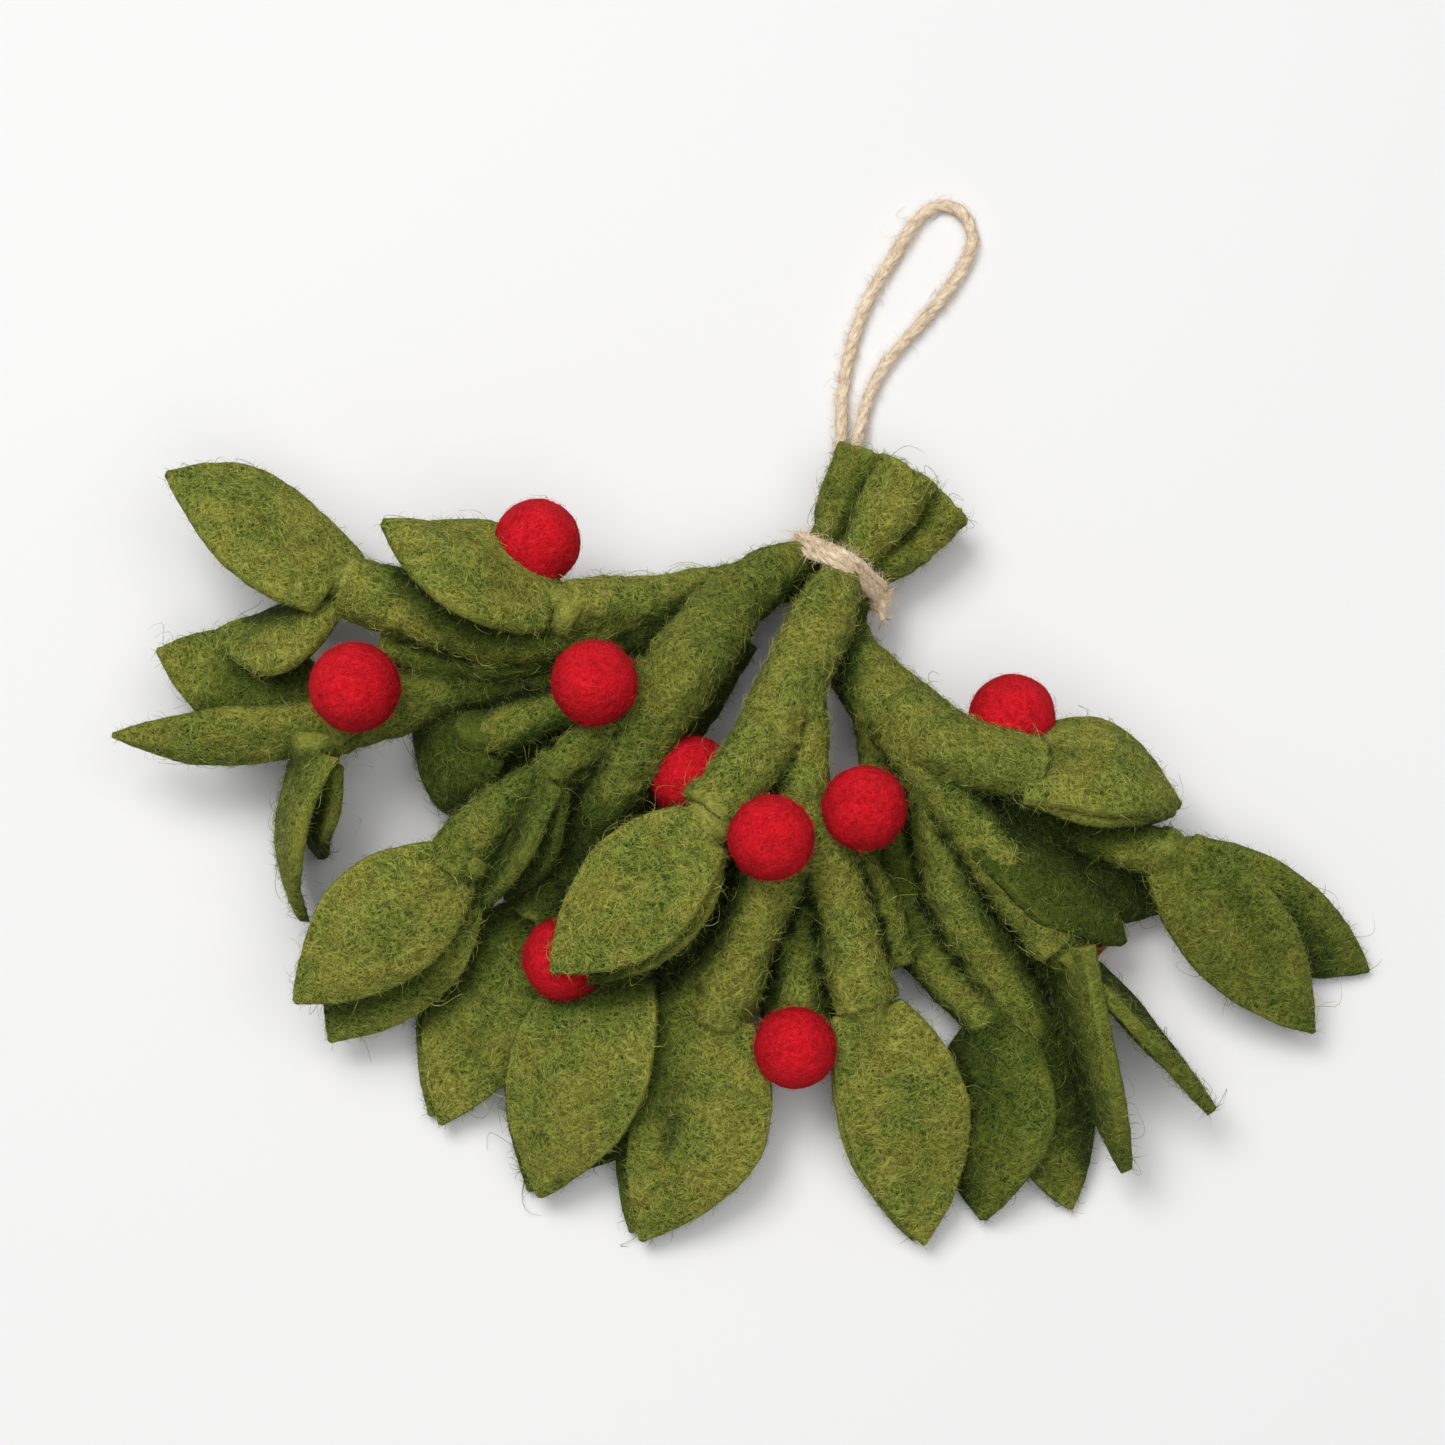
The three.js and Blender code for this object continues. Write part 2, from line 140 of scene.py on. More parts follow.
def tube(line, radius, sides):
    normals, binormals = frameAlong(line[:, :3])
    radius = np.broadcast_to(radius, len(line))
    angles = np.arange(sides) * 2 * math.pi / sides
    rings = []
    for i in range(len(line)):
        around = np.cos(angles)[:, None] * normals[i] + np.sin(angles)[:, None] * binormals[i]
        rings.append(line[i, :3] + radius[i] * around)
    return loft(rings)


def buildObject(name, shells, cornerScale=None):
    # one object from several shells, its faces turned outwards
    vertices, faces, corners, start = [], [], [], 0
    for shellVertices, shellFaces, shellCorners in shells:
        vertices.append((shellVertices + bunchShift) * millimetre)
        faces += [tuple(start + v for v in face) for face in shellFaces]
        corners += shellCorners
        start += len(shellVertices)
    mesh = bpy.data.meshes.new(name)
    mesh.from_pydata(np.concatenate(vertices).tolist(), [], faces)
    if cornerScale:
        layer = mesh.uv_layers.new(name="alongTwine")
        layer.data.foreach_set("uv", (np.array(corners, float) * cornerScale).ravel())
    work = bmesh.new()
    work.from_mesh(mesh)
    bmesh.ops.recalc_face_normals(work, faces=work.faces)
    work.to_mesh(mesh)
    work.free()
    mesh.polygons.foreach_set("use_smooth", [True] * len(mesh.polygons))
    return addObject(name, mesh)


# a coarse map of how high the bunch stands, to tell what lies deep in it for the painted shade
heights = {"cell": 2.5, "columns": 120, "rows": 84, "spread": 4, "start": -0.4, "reach": 6.5}
heightGrid = np.zeros((heights["rows"], heights["columns"]))


def gridPlaces(points):
    # the row and column of the height grid, with fractions, under points in millimetres
    sizes = np.array([heights["rows"], heights["columns"]])
    places = np.clip(points[:, 1::-1] / heights["cell"] + sizes / 2, 0, sizes - 1.01)
    return places[:, 0], places[:, 1]


def noteHeights(shells):
    for vertices, _, _ in shells:
        row, column = gridPlaces(vertices + bunchShift)
        np.maximum.at(heightGrid, (np.rint(row).astype(int), np.rint(column).astype(int)), vertices[:, 2])


def spreadHeights():
    # the grid blurred, so a place can be told from the level of what lies round it
    for _ in range(heights["spread"]):
        padded = np.pad(heightGrid, 1, mode="edge")
        rows, columns = heights["rows"], heights["columns"]
        total = sum(padded[a:a + rows, b:b + columns] for a in range(3) for b in range(3))
        heightGrid[:] = total / 9


def markDepth(mesh, points, extraShade):
    # how deep each vertex lies below its surroundings, 0 to 1, plus the piece's own extra, kept for painted
    # shade on the wool there
    row, column = gridPlaces(points / millimetre)
    low, left = row.astype(int), column.astype(int)
    up, right = row - low, column - left
    level = ((1 - up) * ((1 - right) * heightGrid[low, left] + right * heightGrid[low, left + 1])
             + up * ((1 - right) * heightGrid[low + 1, left] + right * heightGrid[low + 1, left + 1]))
    depth = np.clip((level - points[:, 2] / millimetre - heights["start"]) / heights["reach"], 0, 1)
    layer = mesh.attributes.new("buried", "FLOAT", "POINT")
    layer.data.foreach_set("value", np.clip(depth + extraShade, 0, 1))


def finished(made, extraShade=None):
    # the evaluated object as a plain mesh, its modifiers gone and nothing below the surface
    bpy.context.view_layer.update()
    depsgraph = bpy.context.evaluated_depsgraph_get()
    mesh = bpy.data.meshes.new_from_object(made.evaluated_get(depsgraph), depsgraph=depsgraph)
    made.modifiers.clear()
    made.data = mesh
    mesh.name = made.name
    points = np.empty(len(mesh.vertices) * 3)
    mesh.vertices.foreach_get("co", points)
    points[2::3] = np.maximum(points[2::3], 0)
    mesh.vertices.foreach_set("co", points)
    if extraShade is not None:
        markDepth(mesh, points.reshape(-1, 3), extraShade)
    mesh.update()
    return made


def newTree(name, kind, inputs, outputs):
    tree = bpy.data.node_groups.new(name, kind)
    for way, sockets in (("INPUT", inputs), ("OUTPUT", outputs)):
        for label, holds in sockets:
            tree.interface.new_socket(name=label, in_out=way, socket_type="NodeSocket" + holds)
    return tree, tree.nodes.new("NodeGroupInput").outputs, tree.nodes.new("NodeGroupOutput").inputs


def feed(tree, socket, value):
    if isinstance(value, bpy.types.NodeSocket):
        tree.links.new(value, socket)
    else:
        socket.default_value = value


def fill(tree, node, **values):
    # each named input linked or set, with a space in its name written as _
    for key, value in values.items():
        label = key.replace("_", " ")
        feed(tree, next(s for s in node.inputs if s.enabled and s.name == label), value)
    return node


def put(tree, kind, settings=None, **values):
    node = tree.nodes.new(kind)
    for key, value in (settings or {}).items():
        setattr(node, key, value)
    return fill(tree, node, **values)


def first(node):
    return next(s for s in node.outputs if s.enabled)


def sumOf(tree, kind, operation, values):
    node = tree.nodes.new(kind)
    node.operation = operation
    for socket, value in zip(node.inputs, values):
        feed(tree, socket, value)
    return first(node)


def number(tree, operation, *values):
    return sumOf(tree, "ShaderNodeMath", operation, values)


def vector(tree, operation, *values):
    return sumOf(tree, "ShaderNodeVectorMath", operation, values)


def mixed(tree, share, a, b, blend="MIX"):
    node = tree.nodes.new("ShaderNodeMix")
    node.data_type = "RGBA"
    node.blend_type = blend
    for index, value in ((0, share), (6, a), (7, b)):
        feed(tree, node.inputs[index], value)
    return node.outputs[2]


def ramp(tree, value, low, high, start=0.0, end=1.0):
    # start at low, end at high and a straight line between
    node = put(tree, "ShaderNodeMapRange", {"clamp": True}, Value=value)
    for label, setting in zip(("From Min", "From Max", "To Min", "To Max"), (low, high, start, end)):
        feed(tree, node.inputs[label], setting)
    return first(node)


def speckle(tree, place, scale, detail, rough=0.5):
    node = put(tree, "ShaderNodeTexNoise", Vector=place, Scale=scale, Detail=detail, Roughness=rough)
    return node.outputs[0]


# bends are (how close together, how far); hollows (how close together, how rough)
fibreLook = {
    "angles": (8, 47, 85, 121, 158), "tilts": (0.35, 0.3), "layerStep": (13.1, 7.7, 3.3),
    "stretch": (0.12, 1.1, 0.8), "bends": ((0.14, 4.0), (0.5, 0.7)), "roughness": 0.55,
    "breaks": (0.4, 0.6), "hollows": (0.75, 0.65),
}


def makeFibreGroup():
    # tangled curly lines of wool at several angles, as a mask, and the hollows between them
    tree, given, result = newTree(
        "tangledWool", "ShaderNodeTree",
        [("Place", "Vector"), ("Fineness", "Float"), ("Thinness", "Float")],
        [("Fibres", "Float"), ("Hollows", "Float")])
    look = fibreLook
    place = vector(tree, "SCALE", given["Place"])
    tree.links.new(given["Fineness"], place.node.inputs["Scale"])
    bent = place
    for scale, reach in look["bends"]:
        drift = put(tree, "ShaderNodeTexNoise", Vector=place, Scale=scale, Detail=1.0)
        bend = vector(tree, "SUBTRACT", drift.outputs["Color"], (0.5, 0.5, 0.5))
        bent = vector(tree, "ADD", bent, vector(tree, "MULTIPLY", bend, (reach,) * 3))
    best = None
    for i, angle in enumerate(look["angles"]):
        shifted = vector(tree, "ADD", bent, tuple(i * step for step in look["layerStep"]))
        turned = put(tree, "ShaderNodeMapping", Vector=shifted)
        tilt, lean = look["tilts"]
        turned.inputs["Rotation"].default_value = (tilt * (i % 3 - 1), lean * (i % 2), math.radians(angle))
        stretched = vector(tree, "MULTIPLY", turned.outputs[0], look["stretch"])
        grain = put(tree, "ShaderNodeTexNoise", Vector=stretched, Scale=1.0, Detail=1.0,
                    Roughness=look["roughness"])
        parts = tree.nodes.new("ShaderNodeSeparateXYZ")
        tree.links.new(grain.outputs["Color"], parts.inputs[0])
        ridge = number(tree, "ABSOLUTE", number(tree, "SUBTRACT", parts.outputs[0], 0.5))
        line = ramp(tree, ridge, 0.0, given["Thinness"], 1.0, 0.0)
        line = number(tree, "MULTIPLY", line, ramp(tree, parts.outputs[1], *look["breaks"]))
        best = line if best is None else number(tree, "MAXIMUM", best, line)
    feed(tree, result["Fibres"], best)
    size, rough = look["hollows"]
    feed(tree, result["Hollows"], speckle(tree, place, size, 3.0, rough))
    return tree


fibreGroup = makeFibreGroup()

# each layer over the last: what drives it, from where to where, its share at both ends, its
# colour in the look and how it is laid on
feltLayers = (
    ("clouds", (0.42, 0.6), (0, 1), "deep", "MIX"),
    ("patches", (0.5, 0.66), (0, 0.85), "warm", "MIX"),
    # painted shade in the hollows between the fibres
    ("hollows", (0.36, 0.56), ("hollowShare", 0), "shade", "MIX"),
    ("fibres", (0, 1), (0, "fibreShare"), "fibre", "MIX"),
    ("clouds", (0.45, 0.58), (0, "tintShare"), "tint", "MULTIPLY"),
    # painted shade on faces turned sideways or down
    ("facing", (0, 0.9), ("sideShadeShare", 0), "paintedShade", "MULTIPLY"),
    # painted highlight on convex rims, in the pale fibre colour
    ("crease", (-0.0009, -0.0003), ("rimHighlightShare", 0), "fibre", "MIX"),
    # painted shade in concave creases
    ("crease", (0.00003, 0.0004), (0, "creaseShadeShare"), "crease", "MULTIPLY"),
    # painted shade where the wool lies deep in the bunch, darkest where deepest
    ("buried", (0, 0.5), (0, "depthShadeShare"), "paintedShade", "MULTIPLY"),
    ("buried", (0.35, 1), (0, "depthShadeShare"), "paintedDeepShade", "MULTIPLY"),
)
feltGrain = {
    "detail": 3.0, "rough": (0.6, 0.62), "patchShift": (31.0, 17.0, 5.0), "fibreRise": 0.6,
    "bumpDepth": 0.0004, "roughness": 0.95, "specular": 0.15, "sheenRoughness": 0.6,
}


def newMaterial(name):
    material = bpy.data.materials.new(name)
    material.use_nodes = True
    return material, material.node_tree, material.node_tree.nodes["Principled BSDF"]


def placeIn(tree):
    # the place on the object in millimetres
    coordinates = put(tree, "ShaderNodeTexCoord").outputs["Object"]
    return vector(tree, "MULTIPLY", coordinates, (1 / millimetre,) * 3)


def bumps(tree, height, strength, depth):
    return put(tree, "ShaderNodeBump", Height=height, Strength=strength, Distance=depth).outputs[0]


def attribute(tree, name):
    return put(tree, "ShaderNodeAttribute", {"attribute_name": name}).outputs["Fac"]


def makeFelt(name, look):
    # mottled wool: three tones in clouds, paler fibres over them, painted shade in the hollows between,
    # painted shade where it turns away, folds in or lies deep, and a painted highlight on its convex rims
    grain = feltGrain
    material, tree, shader = newMaterial(name)
    place = placeIn(tree)
    wool = put(tree, "ShaderNodeGroup", {"node_tree": fibreGroup}, Place=place,
               Fineness=look["fineness"], Thinness=look["thinness"]).outputs
    drift = vector(tree, "ADD", place, grain["patchShift"])
    cloudRough, patchRough = grain["rough"]
    sources = {
        "clouds": speckle(tree, place, look["cloudScale"], grain["detail"], cloudRough),
        "patches": speckle(tree, drift, look["patchScale"], grain["detail"], patchRough),
        "hollows": wool["Hollows"], "fibres": wool["Fibres"],
        **{label: attribute(tree, label) for label in ("facing", "crease", "buried")},
    }
    colour = look["main"]
    for source, reach, shares, tone, blend in feltLayers:
        shares = [look.get(share, share) for share in shares]
        share = ramp(tree, sources[source], *reach, *shares)
        colour = mixed(tree, share, colour, look[tone], blend)
    raised = number(tree, "MULTIPLY", wool["Fibres"], grain["fibreRise"])
    height = number(tree, "ADD", raised, wool["Hollows"])
    fill(tree, shader, Base_Color=colour, Normal=bumps(tree, height, look["bump"], grain["bumpDepth"]),
         Roughness=grain["roughness"], Specular_IOR_Level=grain["specular"],
         Sheen_Weight=look["sheen"], Sheen_Roughness=grain["sheenRoughness"], Sheen_Tint=look["fibre"])
    return material


hairLook = {
    # depth and share set the painted shade on hairs deep in the bunch
    "size": 0.45, "tones": (0.38, 0.62), "depth": 0.6, "share": 0.85, "roughness": 0.8, "specular": 0.25,
}


def makeFibre(name, pale, deep, shadow):
    # the loose hairs themselves, each a little different, with painted shade deep in the bunch
    look = hairLook
    material, tree, shader = newMaterial(name)
    spots = speckle(tree, placeIn(tree), look["size"], 2.0)
    colour = mixed(tree, ramp(tree, spots, *look["tones"]), deep, pale)
    paintedShade = ramp(tree, attribute(tree, "buried"), 0.0, look["depth"], 0.0, look["share"])
    fill(tree, shader, Base_Color=mixed(tree, paintedShade, colour, shadow, "MULTIPLY"),
         Roughness=look["roughness"], Specular_IOR_Level=look["specular"])
    return material


def linear(red, green, blue):
    # a screen colour out of 255 as the shader's own values
    return tuple(((c / 255 + 0.055) / 1.055) ** 2.4 for c in (red, green, blue)) + (1.0,)


leafLook = {
    "main": linear(94, 94, 24), "deep": linear(42, 64, 17), "warm": linear(96, 82, 24),
    "shade": linear(22, 30, 6), "fibre": linear(188, 190, 88), "tint": (0.72, 0.87, 0.7, 1),
    # the three tones on this line are painted shade, like the shade tone above
    "paintedShade": (0.2, 0.33, 0.16, 1), "paintedDeepShade": (0.22, 0.26, 0.25, 1), "crease": (0.06, 0.1, 0.06, 1),
    "fibreShare": 0.64, "rimHighlightShare": 0.28, "creaseShadeShare": 0.9, "tintShare": 0.65, "sideShadeShare": 0.35,
    "hollowShare": 0.78, "depthShadeShare": 0.82, "cloudScale": 0.085, "patchScale": 0.13,
    "fineness": 1.55, "thinness": 0.085, "bump": 0.7, "sheen": 0.03,
}
stemLook = dict(leafLook, deep=linear(44, 65, 18), warm=linear(84, 74, 22), patchScale=0.2)
berryLook = {
    "main": linear(190, 3, 20), "deep": linear(168, 2, 15), "warm": linear(206, 6, 24),
    "shade": linear(136, 0, 10), "fibre": linear(242, 40, 56), "tint": (0.8, 0.6, 0.7, 1),
    # the three tones on this line are painted shade, like the shade tone above; crease is unused, its share
    # being 0
    "paintedShade": (0.52, 0.08, 0.14, 1), "paintedDeepShade": (0.53, 0.5, 0.5, 1), "crease": (1, 1, 1, 1),
    "fibreShare": 0.72, "rimHighlightShare": 0, "creaseShadeShare": 0, "tintShare": 0.3, "sideShadeShare": 0.75,
    "hollowShare": 0.5, "depthShadeShare": 0.6, "cloudScale": 0.25, "patchScale": 0.3,
    "fineness": 1.5, "thinness": 0.07, "bump": 0.6, "sheen": 0.03,
}

leafFelt = makeFelt("mottledLeafFelt", leafLook)
stemFelt = makeFelt("rolledStemFelt", stemLook)
berryFelt = makeFelt("needledBerryFelt", berryLook)
greenHair = makeFibre("greenWoolHair", linear(178, 178, 90), linear(84, 98, 34), (0.25, 0.33, 0.22, 1))
redHair = makeFibre("redWoolHair", linear(220, 36, 46), linear(176, 8, 22), (0.5, 0.2, 0.2, 1))
print("felt materials made")


hairForm = {"root": 0.02, "droop": 0.1, "taper": 0.4, "phase": 0.5, "corners": (0, 2.1, 4.2)}


def hairShape(name, joints, radius, bend, curl, lift):
    # a tapering hair one unit long, starting under the origin; bend and curl go sideways and lift
    # off the skin
    form = hairForm
    points, faces = [], [(2, 1, 0)]
    for i in range(joints + 1):
        t = i / joints
        aside = bend * math.sin(math.pi * t) + curl * math.sin(2 * math.pi * t + form["phase"])
        rise = lift * math.sin(math.pi * t) - form["droop"] * t * t - form["root"]
        size = radius * (1 - form["taper"] * t)
        points += [(aside + size * math.cos(a), rise + size * math.sin(a), t) for a in form["corners"]]
    points[-3:] = [(aside, lift if joints == 1 else rise, 1.0)]
    for i in range(joints - 1):
        for j in range(3):
            k = (j + 1) % 3
            faces.append((3 * i + j, 3 * i + k, 3 * i + 3 + k, 3 * i + 3 + j))
    tip = len(points) - 1
    faces += [(tip - 3, tip - 2, tip), (tip - 2, tip - 1, tip), (tip - 1, tip - 3, tip)]
    mesh = bpy.data.meshes.new(name)
    mesh.from_pydata(points, [], faces)
    mesh.update()
    return bpy.data.objects.new(name, mesh)


def hairCollection(name, joints, radius, bends):
    collection = bpy.data.collections.new(name)
    for i, (bend, curl, lift) in enumerate(bends):
        collection.objects.link(hairShape(f"{name}_{i}", joints, radius, bend, curl, lift))
    return collection


# the bend, curl and lift of each hair
downShapes = hairCollection("down", 1, 0.02, ((0, 0, 0.1), (0, 0, 0.02), (0, 0, -0.05), (0, 0, 0.05)))
fuzzShapes = hairCollection(
    "fuzz", 2, 0.016, ((0.16, 0, 0.12), (-0.24, 0, 0.09), (0.05, 0.1, 0.14), (-0.1, -0.12, 0.1)))
longShapes = hairCollection(
    "longHair", 8, 0.008, ((0.3, 0.05, 0.16), (-0.22, 0.14, 0.12), (0.12, -0.16, 0.2), (-0.4, 0.08, 0.1)))

# kinds are (shapes, name, least lean off the skin's normal in degrees, shift of the seed)
hairSpread = {
    "kinds": ((downShapes, "down", 50, 90), (fuzzShapes, "fuzz", 66, 0), (longShapes, "hair", 76, 50)),
    "mostLean": 89, "sizes": (0.55, 1.45), "facing": (-0.6, 0.1), "undersideShare": 0.15, "creaseBlur": 8,
}
hairNames = ("down", "fuzz", "hair")
woolSizes = ("lumpSize", "lumpHeight", "grainSize", "grainHeight", *(name + "Length" for name in hairNames))


def makeWoolTree():
    # lumps and grain on a skin, then short fuzz and a few long hairs lying over it
    tree, given, result = newTree(
        "woolSurface", "GeometryNodeTree",
        [("Geometry", "Geometry"), *((label, "Float") for label in woolSizes + hairNames),
         ("skinMaterial", "Material"), ("hairMaterial", "Material"), ("seed", "Int")],
        [("Geometry", "Geometry")])
    position = first(put(tree, "GeometryNodeInputPosition"))
    normal = first(put(tree, "GeometryNodeInputNormal"))
    rise = None
    for label in ("lump", "grain"):
        scale = number(tree, "DIVIDE", 1.0, given[label + "Size"])
        value = number(tree, "SUBTRACT", speckle(tree, position, scale, 2.0), 0.5)
        value = number(tree, "MULTIPLY", value, given[label + "Height"])
        rise = value if rise is None else number(tree, "ADD", rise, value)
    offset = vector(tree, "SCALE", normal)
    tree.links.new(rise, offset.node.inputs["Scale"])
    skin = first(put(tree, "GeometryNodeSetPosition", Geometry=given["Geometry"], Offset=offset))
    skin = first(put(tree, "GeometryNodeSetMaterial", Geometry=skin, Material=given["skinMaterial"]))
    skin = first(put(tree, "GeometryNodeSetShadeSmooth", Geometry=skin, Shade_Smooth=True))
    around = first(put(tree, "GeometryNodeBlurAttribute", {"data_type": "FLOAT_VECTOR"},
                       Value=position, Iterations=hairSpread["creaseBlur"]))
    crease = vector(tree, "DOT_PRODUCT", vector(tree, "SUBTRACT", around, position), normal)
    level = tree.nodes.new("ShaderNodeSeparateXYZ")
    tree.links.new(normal, level.inputs[0])
    # crease and facing are kept for the felt's painted shade and its painted rim highlight
    for label, value in (("crease", crease), ("facing", level.outputs[2])):
        skin = first(put(tree, "GeometryNodeStoreNamedAttribute", {"data_type": "FLOAT", "domain": "POINT"},
                         Geometry=skin, Name=label, Value=value))
    exposed = ramp(tree, level.outputs[2], *hairSpread["facing"], hairSpread["undersideShare"], 1.0)
    joined = tree.nodes.new("GeometryNodeJoinGeometry")
    tree.links.new(skin, joined.inputs[0])
    smallest, largest = hairSpread["sizes"]
    for shapes, label, leastLean, seedShift in hairSpread["kinds"]:
        seed = number(tree, "ADD", given["seed"], float(seedShift))
        scatter = put(tree, "GeometryNodeDistributePointsOnFaces", Mesh=skin, Seed=seed,
                      Density=number(tree, "MULTIPLY", exposed, given[label]))
        source = put(tree, "GeometryNodeCollectionInfo", Collection=shapes,
                     Separate_Children=True, Reset_Children=True)
        lean = put(tree, "FunctionNodeRandomValue", {"data_type": "FLOAT_VECTOR"}, Seed=seed,
                   Min=(math.radians(leastLean), 0, 0),
                   Max=(math.radians(hairSpread["mostLean"]), 0, 2 * math.pi))
        lean = put(tree, "FunctionNodeEulerToRotation", Euler=first(lean))
        turn = put(tree, "FunctionNodeRotateRotation", {"rotation_space": "LOCAL"},
                   Rotation=scatter.outputs["Rotation"], Rotate_By=first(lean))
        size = put(tree, "FunctionNodeRandomValue", Min=smallest, Max=largest, Seed=seed)
        which = put(tree, "FunctionNodeRandomValue", {"data_type": "INT"}, Min=0,
                    Max=len(shapes.objects) - 1, Seed=seed)
        hairs = put(tree, "GeometryNodeInstanceOnPoints", Points=scatter.outputs["Points"],
                    Instance=first(source), Pick_Instance=True, Instance_Index=first(which),
                    Rotation=first(turn),
                    Scale=number(tree, "MULTIPLY", first(size), given[label + "Length"]))
        hairs = put(tree, "GeometryNodeRealizeInstances", Geometry=first(hairs))
        hairs = put(tree, "GeometryNodeSetMaterial", Geometry=first(hairs),
                    Material=given["hairMaterial"])
        tree.links.new(first(hairs), joined.inputs[0])
    feed(tree, result["Geometry"], first(joined))
    return tree


woolTree = makeWoolTree()
woolSockets = {item.name: item.identifier for item in woolTree.interface.items_tree
               if item.item_type == "SOCKET" and item.in_out == "INPUT"}


def felted(made, wool, skin, hair, seed, extraShade=None):
    # the shells melted into one skin where the wool has a voxel size, then covered with its fuzz
    if wool["voxel"]:
        remesh = made.modifiers.new("melt", "REMESH")
        remesh.mode = "VOXEL"
        remesh.voxel_size = wool["voxel"] * millimetre
        remesh.use_smooth_shade = True
        soften = made.modifiers.new("soften", "SMOOTH")
        soften.factor = 0.5
        soften.iterations = wool["soften"]
        swell = made.modifiers.new("swell", "DISPLACE")
        swell.strength = wool["swell"] * millimetre
        swell.mid_level = 0
    surface = made.modifiers.new("wool", "NODES")
    surface.node_group = woolTree
    values = {"skinMaterial": skin, "hairMaterial": hair, "seed": seed,
              **{label: wool[label] * millimetre for label in woolSizes},
              **{label: wool[label] * perSquare for label in hairNames}}
    for label, value in values.items():
        surface[woolSockets[label]] = value
    return finished(made, extraShade)


def feltPiece(name, shells, wool, skin, hair, seed, shade):
    made = felted(buildObject(name + "_felt", shells), wool, skin, hair, seed, shade)
    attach(made, "root")
    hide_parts(name)
    print(f"{name}: {len(made.data.polygons)} faces")
    return made


loopTwine = {
    "diameter": 2.7, "plies": 3, "pitch": 12, "step": 0.8, "sides": 8, "plyShare": 0.3,
    "offsetShare": 0.2, "wobble": 0.2, "thicknessWobble": 0.22, "wobbleLength": 5, "core": 1.15,
    "fuzz": 2.2,
}
loopRoute = [
    (17.4, 65.1, 4.6), (18.6, 74, 3.8), (21.5, 85, 2.6), (22, 95, 1.6), (23, 103, 1.5), (25, 111, 1.5),
    (28, 119, 1.5), (32, 126, 1.5), (36, 132.5, 1.5), (39.5, 137.5, 1.5), (44, 140, 1.5), (48.5, 138, 1.5),
    (50.5, 132.5, 1.5), (48.5, 126, 1.5), (43.5, 118.5, 1.5), (37, 111, 1.5), (31, 103.5, 1.5),
    (27.5, 96, 1.7), (25.5, 88, 2.8), (23, 76, 5), (19.6, 64.2, 6.6),
]


def twineShells(line, twine):
    # plies laid round each other along a line, a little uneven
    normals, binormals = frameAlong(line)
    step = np.linalg.norm(line[1] - line[0])
    shells = []
    for k in range(twine["plies"]):
        turn = 2 * math.pi * (np.arange(len(line)) * step / twine["pitch"] + k / twine["plies"])
        wobble = np.array([noise.noise((i * step / twine["wobbleLength"], 9.0 * k, 0))
                           for i in range(len(line))])
        offset = twine["offsetShare"] * twine["diameter"] * (1 + twine["wobble"] * wobble)
        around = np.cos(turn)[:, None] * normals + np.sin(turn)[:, None] * binormals
        radius = twine["plyShare"] * twine["diameter"] * (1 + twine["thicknessWobble"] * wobble)
        shells.append(tube(line + offset[:, None] * around, radius, twine["sides"]))
    return shells


twineLook = {
    "pale": linear(247, 231, 208), "tan": linear(236, 217, 190), "dark": linear(195, 171, 143),
    "streaks": (0.35, 9.0, 1.0), "fine": (0.9, 26.0, 1.0), "rough": 0.6, "cloudScale": 0.22,
    "fineShare": 0.7, "cloudShare": 0.35, "fineRise": 0.6, "bump": 0.8, "bumpDepth": 0.0003,
    "roughness": 0.85, "specular": 0.2,
}


def makeTwineMaterial():
    # streaks along each ply, by the plies' own coordinates, and darker clouds over them
    look = twineLook
    material, tree, shader = newMaterial("juteTwine")
    along = put(tree, "ShaderNodeUVMap", {"uv_map": "alongTwine"}).outputs[0]
    streaks = speckle(tree, vector(tree, "MULTIPLY", along, look["streaks"]), 1.0, 2.0, look["rough"])
    fine = speckle(tree, vector(tree, "MULTIPLY", along, look["fine"]), 1.0, 1.0, look["rough"])
    clouds = speckle(tree, placeIn(tree), look["cloudScale"], 2.0)
    colour = mixed(tree, ramp(tree, streaks, 0.35, 0.62), look["dark"], look["tan"])
    colour = mixed(tree, ramp(tree, fine, 0.42, 0.62, 0.0, look["fineShare"]), colour, look["pale"])
    colour = mixed(tree, ramp(tree, clouds, 0.5, 0.7, 0.0, look["cloudShare"]), colour, look["dark"])
    height = number(tree, "ADD", streaks, number(tree, "MULTIPLY", fine, look["fineRise"]))
    fill(tree, shader, Base_Color=colour, Normal=bumps(tree, height, look["bump"], look["bumpDepth"]),
         Roughness=look["roughness"], Specular_IOR_Level=look["specular"])
    return material


twineMaterial = makeTwineMaterial()
twineHair = makeFibre("juteHair", linear(240, 222, 196), linear(200, 172, 136), (0.6, 0.55, 0.5, 1))


def makeTwine(name, lines, twine):
    shells = [shell for line in lines for shell in twineShells(line, twine)]
    made = buildObject(name, shells, (twine["step"], 1 / twine["sides"]))
    made.data.materials.append(twineMaterial)
    return made


twineWool = {
    "voxel": 0, "lumpSize": 4, "lumpHeight": 0.1, "grainSize": 1, "grainHeight": 0.05, "down": 0,
    "downLength": 1, "fuzzLength": 2.6, "hair": 0.12, "hairLength": 5,
}


def makeTwineFuzz(name, lines, twine, seed):
    # stray jute fibres on a thin core hidden inside the twine
    made = buildObject(name, [tube(line, twine["core"], 6) for line in lines])
    return felted(made, dict(twineWool, fuzz=twine["fuzz"]), twineMaterial, twineHair, seed)


loopLine = smoothLine(loopRoute, loopTwine["step"])
hangingLoop = makeTwine("hanging_loop_twine", [loopLine], loopTwine)
loopFuzz = makeTwineFuzz("hanging_loop_fuzz", [loopLine], loopTwine, seeds["loop"])
for made in (hangingLoop, loopFuzz):
    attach(made, "root")
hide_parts("hanging_loop")


